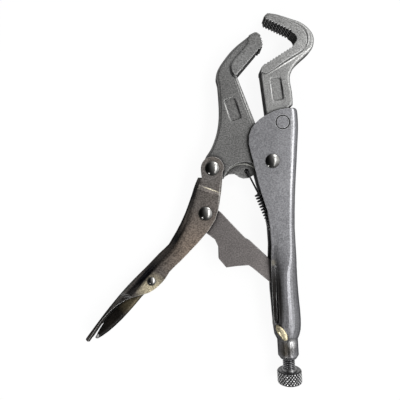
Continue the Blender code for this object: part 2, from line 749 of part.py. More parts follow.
def movable_jaw(tool, axis, material):
    def at(shares):
        return scaled(shares, tool.main, MOVABLE_JAW_REACH, MOVABLE_JAW_HEIGHT)

    back = curve_through(at(MOVABLE_BACK_SHARES), 2)
    lobe = arc(tool.handle, HANDLE_LOBE_RADIUS, math.radians(165), math.radians(310), 8)
    relief_centre = at([RELIEF_CENTRE_SHARES])[0]
    relief = arc(relief_centre, RELIEF_RADIUS, math.radians(165), math.radians(62), 10)
    heel = arc(tool.main, HEEL_RADIUS, math.radians(200), math.radians(475), 18)
    rim = eased(back, FORGED_ROUND) + eased(lobe + relief + heel, EDGE_ROUND)
    rim += eased(at(MOVABLE_NECK_SHARES), NECK_ROUND) + eased(at(MOVABLE_CORE_SHARES), EDGE_ROUND)
    jaw = piece("movable_jaw", rounded_plate(rim, JAW_HALF), axis, material)
    tip = curve_through(at(MOVABLE_TIP_SHARES), 4)
    nose = curve_through(at(MOVABLE_NOSE_SHARES), 2)
    pad_edge = curve_through(at(MOVABLE_PAD_SHARES), 2)
    bite = toothed(tip, TIP_TEETH, RAMP_TOOTH_DEPTH)[::-1]
    pad = eased(bite, TOOTH_ROUND) + eased(nose[1:-1] + pad_edge[::-1], PAD_ROUND)
    combine(jaw, "movable_jaw_pad", rounded_plate(pad, PAD_HALF), axis, "UNION")
    web = at(WEB_SHARES)
    combine(jaw, "movable_jaw_web", prism(web, WEB_THICKNESS / 2), axis, "UNION")
    plate_recess(jaw, "movable_jaw_plate_cutter", at([MOVABLE_PLATE_SHARE])[0], MOVABLE_PLATE_TILT, axis)
    for name, place, radius in (
        ("movable_jaw_main_bore", tool.main, PIVOT_SHANK_RADIUS + SEAT_GAP),
        ("movable_jaw_handle_bore", tool.handle, PIVOT_SHANK_RADIUS + SEAT_GAP),
        ("movable_jaw_spring_bore", tool.spring_hole, SPRING_HOLE_RADIUS),
    ):
        drill(jaw, name, place, radius, PAD_HALF, axis)


def placed(section, web, heading):
    """A section's (depth, height) points as points in space, from its web towards its free edge."""
    return [(web.x + heading.x * depth, web.y + heading.y * depth, height) for depth, height in section]


def shell_rows(tool):
    """The fixed handle's outer and inner grids: cheeks, slit tube, collar and turned-in lip."""
    outer, inner = [], []
    for up, front, back, turned, slit, crease, pressed in SHELL_SHARES:
        height = tool.main.y + up * HANDLE_FALL
        web = Vector((tool.main.x + back * HANDLE_CHEEK_REACH, height))
        depth = (back - front) * HANDLE_CHEEK_REACH
        flat = channel_half(depth, CHEEK_HALF, CHEEK_BEND, SHEET)
        round_section = round_half(depth / 2, slit, crease, pressed, SHEET)
        for grid, a, b in zip((outer, inner), flat, round_section):
            mixed = [
                (p[0] + (q[0] - p[0]) * turned, p[1] + (q[1] - p[1]) * turned) for p, q in zip(a, b)
            ]
            grid.append(placed(mirrored(mixed), web, Vector((-1, 0))))
    across = turned_left(tool.screw_heading)
    for drop, radius, wall in (
        (0.0, COLLAR_RADIUS, COLLAR_WALL),
        (COLLAR_LENGTH / 2, COLLAR_RADIUS, COLLAR_WALL),
        (COLLAR_LENGTH, COLLAR_RADIUS, COLLAR_WALL),
        (COLLAR_LENGTH + COLLAR_LIP, COLLAR_LIP_RADIUS, COLLAR_LIP_WALL),
    ):
        centre = tool.screw_base + tool.screw_heading * drop
        sections = round_half(radius, SEAM_HALF_ANGLE, COLLAR_CREASE, 0, wall)
        for grid, section in zip((outer, inner), sections):
            grid.append(placed(mirrored(section), centre + across * radius, -across))
    return outer, inner


def handle_front_and_back(up):
    """The fixed handle's front and back at a height, between its stations."""
    for above, below in zip(SHELL_SHARES, SHELL_SHARES[1:]):
        if up >= below[0]:
            break
    part = (above[0] - up) / (above[0] - below[0])
    front = above[1] + (below[1] - above[1]) * part
    back = above[2] + (below[2] - above[2]) * part
    return front * HANDLE_CHEEK_REACH, back * HANDLE_CHEEK_REACH


def swept(path, radii):
    """A solid bead or groove cutter along a path, pointed or blunt as its radii say."""
    mesh = bmesh.new()
    rings = []
    for i, (place, radius) in enumerate(zip(path, radii)):
        along = (path[min(i + 1, len(path) - 1)] - path[max(i - 1, 0)]).normalized()
        side = along.cross(Vector((0, 0, 1))).normalized()
        up = side.cross(along)
        ring = []
        for k in range(BEAD_SEGMENTS):
            turn = 2 * math.pi * k / BEAD_SEGMENTS
            ring.append(mesh.verts.new(place + (side * math.cos(turn) + up * math.sin(turn)) * radius))
        rings.append(ring)
    for below, above in zip(rings, rings[1:]):
        for k in range(BEAD_SEGMENTS):
            j = (k + 1) % BEAD_SEGMENTS
            mesh.faces.new((below[k], below[j], above[j], above[k]))
    mesh.faces.new(rings[0][::-1])
    mesh.faces.new(rings[-1])
    bmesh.ops.recalc_face_normals(mesh, faces=mesh.faces)
    return mesh


def crimp(tool, side):
    """The bulge that the seam's metal makes where the tube is crimped down to the collar."""
    path, radii = [], []
    for up, angle, thick in CRIMP_SHARES:
        front, back = handle_front_and_back(up)
        radius = (back - front) / 2 - CRIMP_RADIUS * thick / 2
        across = (front + back) / 2 - radius * math.cos(angle)
        height = tool.main.y + up * HANDLE_FALL
        path.append(Vector((tool.main.x + across, height, side * radius * math.sin(angle))))
        radii.append(CRIMP_RADIUS * thick)
    return swept(path, radii)


def stake(tool):
    """The shallow groove that locks the collar onto its nut."""
    path, radii = [], []
    across = turned_left(tool.screw_heading)
    for share in (0.0, 0.25, 0.5, 0.75, 1.0):
        deep = STAKE_DEPTH * (1 - (2 * share - 1) ** 2)
        reach = COLLAR_RADIUS + STAKE_RADIUS - deep
        centre = tool.screw_base + tool.screw_heading * (COLLAR_LENGTH * share)
        place = centre - across * (reach * math.cos(STAKE_ANGLE))
        path.append(Vector((place.x, place.y, reach * math.sin(STAKE_ANGLE))))
        radii.append(STAKE_RADIUS)
    return swept(path, radii)


def box_between(low, high):
    mesh = bmesh.new()
    bmesh.ops.create_cube(mesh, size=1)
    size = Vector(high) - Vector(low)
    bmesh.ops.scale(mesh, verts=mesh.verts, vec=size)
    bmesh.ops.translate(mesh, verts=mesh.verts, vec=(Vector(low) + Vector(high)) / 2)
    return mesh


def fixed_handle(tool, axis, material):
    shell = piece("fixed_handle", bent_sheet(*shell_rows(tool)), axis, material)
    drill(shell, "fixed_handle_main_bore", tool.main, PIVOT_SHANK_RADIUS + SEAT_GAP, CHEEK_HALF, axis)
    drill(
        shell, "fixed_handle_rivet_bore", flush_rivet_place(tool), JAW_RIVET_RADIUS + SEAT_GAP,
        CHEEK_HALF, axis,
    )
    combine(shell, "fixed_handle_upper_crimp", crimp(tool, 1), axis, "UNION")
    combine(shell, "fixed_handle_lower_crimp", crimp(tool, -1), axis, "UNION")
    combine(shell, "fixed_handle_stake_cutter", stake(tool), axis, "DIFFERENCE")
    hole = tool.spring_anchor
    _, back = handle_front_and_back((hole.y - tool.main.y) / HANDLE_FALL)
    tab = box_between(
        (hole.x - SPRING_TAB_WIDTH / 2, hole.y - SHEET / 2, -SPRING_TAB_WIDTH / 2),
        (tool.main.x + back - SHEET / 2, hole.y + SHEET / 2, SPRING_TAB_WIDTH / 2),
    )
    combine(shell, "fixed_handle_spring_tab", tab, axis, "UNION")
    bore = lathe(
        ((0, -SHEET), (SPRING_TAB_HOLE_RADIUS, -SHEET), (SPRING_TAB_HOLE_RADIUS, SHEET), (0, SHEET)),
        ROUND_SEGMENTS // 2,
    )
    bmesh.ops.rotate(bore, verts=bore.verts, matrix=Matrix.Rotation(math.pi / 2, 3, "X"))
    bmesh.ops.translate(bore, verts=bore.verts, vec=(hole.x, hole.y, 0))
    combine(shell, "fixed_handle_spring_bore", bore, axis, "DIFFERENCE")


def operating_handle(tool, axis, material):
    outer, inner = [], []

    def add(web, edge, half, bend):
        heading = (edge - web).normalized()
        sections = channel_half((edge - web).length, half, bend, SHEET)
        for grid, section in zip((outer, inner), sections):
            grid.append(placed(mirrored(section), web, heading))

    for i in range(EAR_STEPS):
        turn = math.radians(12) + (math.pi / 2 - math.radians(12)) * i / (EAR_STEPS - 1)
        web = tool.handle + EAR_RADIUS * toward(EAR_ANGLE + turn)
        edge = tool.handle + EAR_RADIUS * toward(EAR_ANGLE - turn)
        add(web, edge, CHEEK_HALF, EDGE_ROUND)
    for web_along, web_across, edge_along, edge_across, spread, bend in GRIP_SHARES:
        half = GRIP_HALF + (CHEEK_HALF - GRIP_HALF) * spread
        web = tool.in_grip(web_along, web_across)
        edge = tool.in_grip(edge_along, edge_across)
        add(web, edge, half, bend * GRIP_HALF)
    last = 2 * (WALL_STEPS + BEND_STEPS + WEB_STEPS)
    mesh = bent_sheet(outer, inner, EAR_STEPS + WEB_START, WALL_STEPS, last - WALL_STEPS)
    grip = piece("operating_handle", mesh, axis, material)
    for name, place, radius in (
        ("operating_handle_jaw_bore", tool.handle, PIVOT_SHANK_RADIUS),
        ("operating_handle_link_bore", tool.link, LINK_SHANK_RADIUS),
        ("operating_handle_lever_bore", tool.lever, LEVER_SHANK_RADIUS),
    ):
        drill(grip, name, place, radius + SEAT_GAP, CHEEK_HALF, axis)


def release_lever(tool, axis, material):
    outer, inner = [], []
    for along, web_across, edge_across in LEVER_SHARES:
        web = tool.in_grip(along, web_across)
        edge = tool.in_grip(along, edge_across)
        sections = channel_half((edge - web).length, LEVER_HALF, LEVER_WEB_BEND, LEVER_SHEET)
        for grid, section in zip((outer, inner), sections):
            grid.append(placed(mirrored(section), web, (edge - web).normalized()))
    lever = piece("release_lever", bent_sheet(outer, inner), axis, material)
    drill(lever, "release_lever_bore", tool.lever, LEVER_SHANK_RADIUS + SEAT_GAP, CHEEK_HALF, axis)


def toggle_link(tool, axis, material):
    along = (tool.tip - tool.link).normalized()
    across = turned_left(along)

    def at(shares):
        return [tool.link + along * (x * LINK_LENGTH) + across * (y * GRIP_DEPTH) for x, y in shares]

    heading = angle_about(tool.link, tool.tip)
    tip = arc(tool.tip, LINK_TIP_RADIUS, heading - math.radians(75), heading + math.radians(75), 8)
    eye = arc(tool.link, LINK_EYE_RADIUS, heading + math.radians(65), heading + math.radians(295), 14)
    outline = at(LINK_LOWER_SHARES)[::-1] + tip + at(LINK_UPPER_SHARES)[::-1] + eye
    link = piece("toggle_link", rounded_plate(eased(outline, EDGE_ROUND), LINK_HALF), axis, material)
    drill(link, "toggle_link_bore", tool.link, LINK_SHANK_RADIUS + SEAT_GAP, LINK_HALF, axis)


def rivet(name, place, shank, head, height, half, axis, material):
    """A rivet with a domed head on each side, its heads seated on walls of this half width."""
    seat = half + SEAT_GAP
    dome = [
        (head * math.cos(a), seat + height * math.sin(a))
        for a in [math.pi / 2 * i / DOME_STEPS for i in range(DOME_STEPS)]
    ]
    upper = [(shank, seat), *dome, (0.0, seat + height)]
    lower = [(radius, -z) for radius, z in upper]
    mesh = lathe(lower[::-1] + upper, ROUND_SEGMENTS)
    bmesh.ops.translate(mesh, verts=mesh.verts, vec=(place.x, place.y, 0))
    piece(name, mesh, axis, material)


def flush_rivet(tool, axis, material):
    """The countersunk rivet that holds the fixed jaw, ground flush with the cheeks."""
    seat = JAW_HALF + SEAT_GAP
    mesh = lathe(
        (
            (0.0, -CHEEK_HALF), (JAW_RIVET_RADIUS, -CHEEK_HALF), (JAW_RIVET_RADIUS, -seat),
            (JAW_RIVET_SHANK_RADIUS, -seat), (JAW_RIVET_SHANK_RADIUS, seat), (JAW_RIVET_RADIUS, seat),
            (JAW_RIVET_RADIUS, CHEEK_HALF), (0.0, CHEEK_HALF),
        ),
        ROUND_SEGMENTS,
    )
    place = flush_rivet_place(tool)
    bmesh.ops.translate(mesh, verts=mesh.verts, vec=(place.x, place.y, 0))
    piece("fixed_jaw_rivet", mesh, axis, material)


def along_screw(tool, mesh, place):
    """Lays a shape turned about Z along the screw's axis, its foot at this place."""
    bmesh.ops.rotate(mesh, verts=mesh.verts, matrix=Matrix.Rotation(math.pi / 2, 3, "X"))
    bmesh.ops.rotate(mesh, verts=mesh.verts, matrix=Matrix.Rotation(SCREW_TILT, 3, "Z"))
    bmesh.ops.translate(mesh, verts=mesh.verts, vec=(place.x, place.y, 0))
    return mesh


def screw_nut(tool, axis, material):
    inside = SCREW_RADIUS + SEAT_GAP
    outside = inside + NUT_WALL
    start = (COLLAR_LENGTH - NUT_LENGTH) / 2
    mesh = tube(
        ((inside, start), (outside, start), (outside, start + NUT_LENGTH), (inside, start + NUT_LENGTH)),
        ROUND_SEGMENTS,
    )
    piece("screw_nut", along_screw(tool, mesh, tool.screw_base), axis, material)


def adjusting_screw(tool, axis, material):
    length = (tool.knob - tool.screw).length + KNOB_LENGTH - KNOB_FACE_WALL - SEAT_GAP
    mesh = lathe(
        (
            (0.0, 0.0), (SCREW_RADIUS - KNOB_CHAMFER, 0.0), (SCREW_RADIUS, KNOB_CHAMFER),
            (SCREW_RADIUS, length), (0.0, length),
        ),
        ROUND_SEGMENTS,
    )
    piece("adjusting_screw", along_screw(tool, mesh, tool.screw), axis, material)


def knurled_knob(tool, axis, material):
    """A turned knob, bored from its face for the screw, with a diamond knurl round its rim."""
    bore = SCREW_RADIUS + SEAT_GAP
    depth = KNOB_LENGTH - KNOB_FACE_WALL
    rim = KNOB_RADIUS - KNURL_DEPTH
    face = KNOB_RADIUS - KNOB_CHAMFER
    mesh = bmesh.new()
    rings = []

    def ring(radii, height):
        made = []
        for i in range(KNURL_COUNT):
            direction = toward(2 * math.pi * i / KNURL_COUNT)
            made.append(mesh.verts.new((radii(i) * direction.x, radii(i) * direction.y, height)))
        rings.append(made)

    ring(lambda i: bore, depth)
    ring(lambda i: bore, 0.0)
    ring(lambda i: face, 0.0)
    rows = KNURL_ROWS
    for k in range(rows + 1):
        height = KNOB_CHAMFER + (KNOB_LENGTH - 2 * KNOB_CHAMFER) * k / rows
        if k in (0, rows):
            ring(lambda i: rim, height)
        else:
            ring(lambda i, k=k: KNOB_RADIUS if (i + k) % 2 else rim, height)
    ring(lambda i: face, KNOB_LENGTH)
    end = mesh.verts.new((0, 0, KNOB_LENGTH))
    floor = mesh.verts.new((0, 0, depth))
    for k, (below, above) in enumerate(zip(rings, rings[1:])):
        for i in range(KNURL_COUNT):
            j = (i + 1) % KNURL_COUNT
            if (i + k - 3) % 2:
                mesh.faces.new((below[i], below[j], above[i]))
                mesh.faces.new((below[j], above[j], above[i]))
            else:
                mesh.faces.new((below[i], below[j], above[j]))
                mesh.faces.new((below[i], above[j], above[i]))
    for i in range(KNURL_COUNT):
        j = (i + 1) % KNURL_COUNT
        mesh.faces.new((rings[-1][i], rings[-1][j], end))
        mesh.faces.new((rings[0][j], rings[0][i], floor))
    bmesh.ops.recalc_face_normals(mesh, faces=mesh.faces)
    piece("knurled_knob", along_screw(tool, mesh, tool.knob), axis, material, sharp=20)


def spring_points(tool):
    """The spring's centre line: a hook through the movable jaw's web, the coil, and a hook in the tab."""
    top = Vector((*tool.spring_hole, 0))
    end = Vector((*tool.spring_anchor, 0))
    side = WEB_THICKNESS / 2
    start = Vector((*tool.coil_top, 0))
    axis = (end - start).normalized()
    pitch = (end - start).length * COIL_SHARE / COIL_TURNS
    beside = Vector((axis.y, -axis.x, 0))
    clear = side + 3 * WIRE_RADIUS
    points = [
        top + Vector((0, 0, -clear - 2 * WIRE_RADIUS)),
        top + Vector((0, 0, -side)),
        top + Vector((0, 0, side)),
        top + Vector((0, 0, clear)),
    ]
    reach = start + Vector((0, 0, COIL_RADIUS))
    over = reach - points[-1]
    points[-1] += over.normalized() * WIRE_RADIUS
    points += [points[-1] + (reach - points[-1]) * t for t in (0.25, 0.5, 0.75, 0.93)]
    count = COIL_TURNS * POINTS_PER_TURN
    for i in range(count + 1):
        turn = 2 * math.pi * i / POINTS_PER_TURN
        out = beside * math.sin(turn) + Vector((0, 0, 1)) * math.cos(turn)
        points.append(start + axis * (pitch * i / POINTS_PER_TURN) + out * COIL_RADIUS)
    leave = points[-1]
    down = Vector((0, -1, 0))
    entry = end - down * (SHEET + 4 * WIRE_RADIUS)
    points += [leave + axis * (2 * WIRE_RADIUS) + (entry - leave) * t for t in (0.2, 0.5, 0.8)]
    points.append(entry)
    points.append(end - down * SHEET / 2)
    bottom = end + down * (SHEET / 2 + 2 * WIRE_RADIUS)
    points.append(bottom)
    curl = 3 * WIRE_RADIUS
    centre = bottom + Vector((-curl, 0, 0))
    for i in range(1, 6):
        angle = -math.pi * i / 6
        points.append(centre + Vector((math.cos(angle), math.sin(angle), 0)) * curl)
    return points


def least_gap(points):
    """The smallest clear distance between stretches of the wire that aren't neighbours."""
    least = math.inf
    skip = POINTS_PER_TURN // 2
    for i, a in enumerate(points):
        for b in points[i + skip:]:
            least = min(least, (a - b).length)
    return least - 2 * WIRE_RADIUS


def return_spring(tool, axis, material):
    points = spring_points(tool)
    print("least gap between the spring's turns:", round(least_gap(points), 6))
    data = bpy.data.curves.new("return_spring", "CURVE")
    data.dimensions = "3D"
    data.bevel_depth = WIRE_RADIUS
    data.bevel_resolution = 1
    data.use_fill_caps = True
    spline = data.splines.new("POLY")
    spline.points.add(len(points) - 1)
    for slot, point in zip(spline.points, points):
        slot.co = (point.x - axis["x"], point.y - axis["y"], point.z, 1)
    data.materials.append(material)
    made = bpy.data.objects.new("return_spring", data)
    made.parent = axis
    bpy.context.collection.objects.link(made)


def build():
    clear_scene()
    tool = Tool()
    frame = axis_empty("tool_frame", Vector((0, 0)))
    jaw_axis = axis_empty("jaw_pivot_axis", tool.main, frame)
    grip_axis = axis_empty("handle_pivot_axis", tool.handle, jaw_axis)
    link_axis = axis_empty("link_pivot_axis", tool.link, grip_axis)
    lever_axis = axis_empty("lever_pivot_axis", tool.lever, grip_axis)
    screw_axis = axis_empty("screw_axis", tool.knob, frame)
    jaw_steel = metal("jaw_steel", BARE_STEEL, 0.45, 0.9)
    shell_steel = metal("shell_steel", BARE_STEEL, 0.40, 0.9)
    grip_steel = metal("grip_steel", WARM_STEEL, 0.40, 0.9)
    rivet_steel = metal("rivet_steel", BRIGHT_STEEL, 0.22, 1.0)
    screw_steel = metal("screw_steel", DARK_STEEL, 0.40, 0.8)
    spring_steel = metal("spring_steel", SPRING_STEEL, 0.35, 0.8)
    fixed_jaw(tool, frame, jaw_steel)
    fixed_handle(tool, frame, shell_steel)
    flush_rivet(tool, frame, shell_steel)
    rivet(
        "jaw_pivot_rivet", tool.main, PIVOT_SHANK_RADIUS, PIVOT_HEAD_RADIUS, HEAD_HEIGHT,
        CHEEK_HALF, frame, rivet_steel,
    )
    screw_nut(tool, frame, screw_steel)
    return_spring(tool, frame, spring_steel)
    movable_jaw(tool, jaw_axis, jaw_steel)
    operating_handle(tool, grip_axis, grip_steel)
    rivet(
        "handle_pivot_rivet", tool.handle, PIVOT_SHANK_RADIUS, PIVOT_HEAD_RADIUS, HEAD_HEIGHT,
        CHEEK_HALF, grip_axis, rivet_steel,
    )
    rivet(
        "link_rivet", tool.link, LINK_SHANK_RADIUS, LINK_HEAD_RADIUS, HEAD_HEIGHT,
        GRIP_HALF, grip_axis, rivet_steel,
    )
    rivet(
        "lever_rivet", tool.lever, LEVER_SHANK_RADIUS, LEVER_HEAD_RADIUS, LEVER_HEAD_HEIGHT,
        GRIP_HALF, grip_axis, rivet_steel,
    )
    toggle_link(tool, link_axis, grip_steel)
    release_lever(tool, lever_axis, grip_steel)
    adjusting_screw(tool, screw_axis, screw_steel)
    knurled_knob(tool, screw_axis, screw_steel)


build()
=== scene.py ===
import math

import bmesh
import bpy
from mathutils import Matrix, Vector

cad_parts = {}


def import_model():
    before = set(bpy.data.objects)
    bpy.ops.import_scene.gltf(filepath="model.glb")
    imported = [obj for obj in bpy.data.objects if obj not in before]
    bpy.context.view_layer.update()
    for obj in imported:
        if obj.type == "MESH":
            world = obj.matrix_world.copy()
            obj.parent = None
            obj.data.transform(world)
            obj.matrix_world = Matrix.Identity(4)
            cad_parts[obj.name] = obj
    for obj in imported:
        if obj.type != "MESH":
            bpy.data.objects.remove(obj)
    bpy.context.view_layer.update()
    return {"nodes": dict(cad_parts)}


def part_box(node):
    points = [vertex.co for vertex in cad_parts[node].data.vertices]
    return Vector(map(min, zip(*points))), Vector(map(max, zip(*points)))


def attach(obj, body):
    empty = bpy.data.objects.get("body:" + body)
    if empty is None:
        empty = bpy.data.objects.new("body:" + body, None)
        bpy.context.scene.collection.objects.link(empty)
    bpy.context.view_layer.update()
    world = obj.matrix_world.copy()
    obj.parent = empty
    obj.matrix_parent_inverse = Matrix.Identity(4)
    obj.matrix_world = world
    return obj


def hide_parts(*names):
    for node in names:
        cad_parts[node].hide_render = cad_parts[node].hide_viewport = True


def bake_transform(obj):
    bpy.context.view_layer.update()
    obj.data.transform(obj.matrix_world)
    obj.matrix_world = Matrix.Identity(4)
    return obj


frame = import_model()

# The camera looks straight down at the tool's middle plane
MIDDLE = 0.0094
CAMERA_HEIGHT = 0.270
FRAME_SIDE = 0.272
SENSOR_SIDE = 36.0
CAMERA_CLIP = 0.01

# The adjusting screw, from the link's tip to just short of the wall at the knob's far end
SCREW_TILT = math.radians(3.4)
SCREW_BASE = Vector((0.05943, -0.0940, MIDDLE))
SCREW_HEADING = Vector((math.sin(SCREW_TILT), -math.cos(SCREW_TILT), 0))
LINK_TIP = Vector((0.0574176, -0.0601274, MIDDLE))
SCREW_START = 0.0048
SCREW_SHORT = 0.0003
SCREW_RADIUS = 0.0041
SCREW_SIDES = 40
# Its tip starts at this share of the radius, and widens as fast as a cone of this length
TIP_SHARE = 0.62
TIP_LENGTH = 0.0022
# Its thread; the root and the flank each take this share of half a pitch
THREAD_PITCH = 0.00125
THREAD_DEPTH = 0.00055
THREAD_ROWS = 8
THREAD_ROOT = 0.12
THREAD_FLANK = 0.76

# The knob and its two turned faces, each point a radius and a distance along from its near end
KNOB_ALONG = 0.0209
KNOB_RADIUS = 0.0083
KNOB_LENGTH = 0.0092
KNOB_FACE_WALL = 0.0020
KNOB_FACE = (
    (0.0040, 0.0020), (0.0041, -0.0010), (0.0047, -0.0010), (0.0050, -0.0004), (0.0053, 0.0003),
    (0.0064, 0.0003), (0.0068, 0.0), (0.0073, 0.0001), (0.0079, 0.0006),
)
KNOB_END = (
    (0.0078, KNOB_LENGTH - 0.0005), (0.0071, KNOB_LENGTH - 0.0001),
    (0.0052, KNOB_LENGTH - 0.0001), (0.0050, KNOB_LENGTH - 0.0003),
    (0.0012, KNOB_LENGTH - 0.0003), (0.0004, KNOB_LENGTH - 0.0004),
)
# Its knurl: where it lies, the grooves each way round, and how far its crests are under the radius
KNURL_LOW = 0.0012
KNURL_HIGH = KNOB_LENGTH - 0.0010
KNURL_COUNT = 24
KNURL_DEPTH = 0.00055
KNURL_SHY = 0.00006
KNURL_STRETCH = 1.15
KNURL_ROOT = 0.14
KNURL_FLANK = 0.34
KNURL_ROWS = 48
KNURL_SIDES = 12
# How rubbed its face and its boss are, from 0, black, to 1; the face ends this far under the knurl
KNURL_MARGIN = 0.0001
FACE_RELIEF = 0.42
BOSS_RADIUS = 0.0051
BOSS_RELIEF = 0.55

# The tension spring; its shown wire is a little thicker than the one that sets its clearances
SPRING_HOLE = Vector((0.03138, 0.019694, MIDDLE))
COIL_TOP = Vector((0.0396, 0.0040, MIDDLE))
SPRING_ANCHOR = Vector((0.0545, -0.0310274, MIDDLE))
WEB_THICKNESS = 0.0034
SHEET = 0.0020
WIRE_RADIUS = 0.00045
WIRE_SHOWN = 0.00062
WIRE_SIDES = 10
EYE_RADIUS = 0.0013
EYE_SHRINK = 0.00005
EYE_POINTS = 22
EYE_HALF_TURN = 5
SHANK_SHARES = (0.25, 0.5, 0.75, 0.93)
COIL_RADIUS = 0.0022
COIL_TURNS = 13
COIL_SHARE = 0.70
COIL_POINTS = 24
LEAD_SHARES = (0.2, 0.5, 0.8)
HOOK_HALF_TURN = 6

# The domed rivets, with the body each rides on and its dome's height
DOMED_RIVETS = (
    ("jaw_pivot_rivet", "frame", 0.00135), ("handle_pivot_rivet", "grip", 0.00135),
    ("link_rivet", "grip", 0.00135), ("lever_rivet", "grip", 0.00100),
)
DOME_STEPS = 14
DOME_SIDES = 56
DOME_CORE = 0.55
# The jaw's flush rivet, each point a radius and a depth under the cheek, from its end to its waist
FLUSH_RIVET = Vector((0.05466, 0.051504, 0))
FLUSH_RADIUS = 0.00470
CHEEK_HALF = 0.00775
FLUSH_HALF = (
    (0.0030, 0), (FLUSH_RADIUS - 0.0006, 0), (FLUSH_RADIUS - 0.0003, 0.0006),
    (FLUSH_RADIUS, 0.0007), (FLUSH_RADIUS, 0.0016), (0.0034, 0.0021),
)
FLUSH_SIDES = 48

# The seam's bead: its height over the jaw's pivot as a share of the handle's fall, its angle round
# the tube from the slit, and its radius
BEAD_SHARES = (
    (-0.7790, 0.66, 0.00080), (-0.7850, 0.70, 0.00170), (-0.7920, 0.77, 0.00230),
    (-0.8000, 0.86, 0.00265), (-0.8090, 0.99, 0.00275), (-0.8180, 1.10, 0.00265),
    (-0.8280, 1.19, 0.00235), (-0.8380, 1.26, 0.00185), (-0.8460, 1.31, 0.00110),
)
# How far the tube's front and back edges lie past the jaw's pivot, at such shares of the fall
TUBE_EDGES = (
    (-0.756, 0.00164, 0.02036), (-0.782, 0.00184, 0.02044), (-0.808, 0.00208, 0.02028),
    (-0.834, 0.00272, 0.01944), (-0.852, 0.00388, 0.01852),
)
JAW_PIVOT = Vector((0.0479, 0.0258, MIDDLE))
HANDLE_FALL = 0.1400
BEAD_PROUD = 0.0014
BEAD_SUNK = 0.62
BEAD_SIDES = 16
# It flattens this far from the middle plane, so that the tool still lies on its rivet heads
BEAD_SHOULDER = 0.0078
BEAD_CROWN = 0.0014
# Its fine ripples: radians a metre across and along the tool, shift, height and sideways lean
RIPPLE_ACROSS = 4200
RIPPLE_ALONG = 5100
RIPPLE_SHIFT = 1.3
RIPPLE_HEIGHT = 0.00006
RIPPLE_LEAN = (0.3, 0.2)

# The far cheek's lip inside the handle's tail: the way down the tail from the lever's pivot, and
# how far its inner and outer edges lie towards the handle's back
TAIL_START = Vector((-0.0323, -0.0541, 0))
TAIL_ALONG = Vector((-0.7194, -0.6946, 0))
TAIL_ACROSS = Vector((-0.6946, 0.7194, 0))
TAIL_LIP = (
    (0.018, 0.0046, 0.0049), (0.024, 0.0031, 0.0052), (0.028, 0.0026, 0.0051),
    (0.032, 0.0025, 0.0049), (0.036, 0.0023, 0.00445), (0.040, 0.0019, 0.00395),
    (0.044, 0.0016, 0.00335), (0.047, 0.0018, 0.00285), (0.049, 0.0022, 0.00250),
)
LIP_LOW = 0.0042
LIP_HIGH = 0.0052

# Points that smooth_path makes for each one that it is given
PATH_STEPS = 4
# A vector shorter than this has no direction to go by
NO_LENGTH = 1e-4

# The floor, and how much of its own white shows in a view; the rest is matt and takes shadows
FLOOR_HALF = 1.5
FLOOR_DROP = 0.0002
FLOOR_TONE = 0.85
FLOOR_SHOWN = 0.92
# The studio over the tool: how bright it is at each angle from straight up (0) towards +X (90)
STUDIO = (
    (-180, 0.26), (-100, 0.10), (-60, 0.05), (-32, 0.13), (-15, 0.40), (2, 0.75), (16, 1.00),
    (28, 1.45), (42, 2.0), (56, 1.4), (72, 0.7), (96, 0.42), (180, 0.28),
)
STUDIO_TOP = 2.5
# Below about 25 degrees of elevation it is white all round, as the floor is; these are its sines
WHITE_BELOW = 0.30
STUDIO_ABOVE = 0.55
# Each lamp's place, its two sides and its power; all face the origin
LAMPS = (
    ("window", (-0.34, -0.55, 0.56), (0.15, 0.15), 2.2),
    ("strip", (0.41, -0.05, 0.60), (0.90, 0.17), 2.6),
    ("fill", (0.42, 0.62, 0.36), (0.30, 0.30), 0.9),
)

# The materials' noises: scale, detail and roughness
CLOUD = (60.0, 3.0, 0.5)
GRAIN = (1150.0, 2.0, 0.6)
PITS = (2600.0, 2.0, 0.6)
POLISH = (900.0, 3.0, 0.5)
RUBBING = (700.0, 2.0, 0.6)
OIL = (1500.0, 3.0, 0.6)
# Where along a noise or the relief the first and the last tone are reached
CLOUD_ENDS = (0.32, 0.68)
FLECK_ENDS = (0.36, 0.64)
FINE_ENDS = (0.3, 0.7)
ROUGH_ENDS = (0.3, 0.7)
RELIEF_ENDS = (0.30, 0.85)
# The stops below are each a place and a level: rubbed metal along its noise, a painted light patch
# along its reach, and a painted line across its half width
RUB = ((0.35, 0.7), (0.65, 1.15))
PATCH_FADE = ((0.15, 1), (1.0, 0))
LINE_FADE = ((0.5, 1), (1.0, 0))
# How far two films of painted shade reach out of a corner, and how dark each is along the
# occlusion (1 is unshaded)
CORNER_SHADE_REACH = 0.0020
CORNER_SHADE = ((0.50, 0.20), (0.95, 1.0))
SOFT_SHADE_REACH = 0.0055
SOFT_SHADE = ((0.55, 0.35), (0.98, 1.0))
OCCLUSION_SAMPLES = 8
# How wide an edge's wear and painted highlight is, and its grey
WEAR_HIGHLIGHT_RIM = 0.0005
WEAR_HIGHLIGHT_SAMPLES = 6
WEAR_HIGHLIGHT_TONE = 0.66
PIT_STRENGTH = 0.25
PIT_DEPTH = 0.00008
DULL_TINT = (0.25, 0.25, 0.25)
# Painted sheen: polished steel is brightest where it faces this way, darker as it turns from it
PAINTED_LIGHT_WAY = (0.58, 0.42, 0.70)
PAINTED_SHEEN = ((0.52, 0.25), (0.74, 0.75), (0.93, 2.4))
POLISH_DIM = 0.8


# Materials

def new_material(name):
    made = bpy.data.materials.new(name)
    made.use_nodes = True
    tree = made.node_tree
    return made, tree, tree.nodes["Principled BSDF"]


def node(tree, kind, **values):
    made = tree.nodes.new(kind)
    for key, value in values.items():
        setattr(made, key, value)
    return made


def feed(tree, socket, source):
    """Links the socket to another, or gives it a number, a vector or an opaque colour."""
    if isinstance(source, bpy.types.NodeSocket):
        tree.links.new(source, socket)
    elif socket.type == "RGBA":
        socket.default_value = (*source, 1)
    else:
        socket.default_value = source


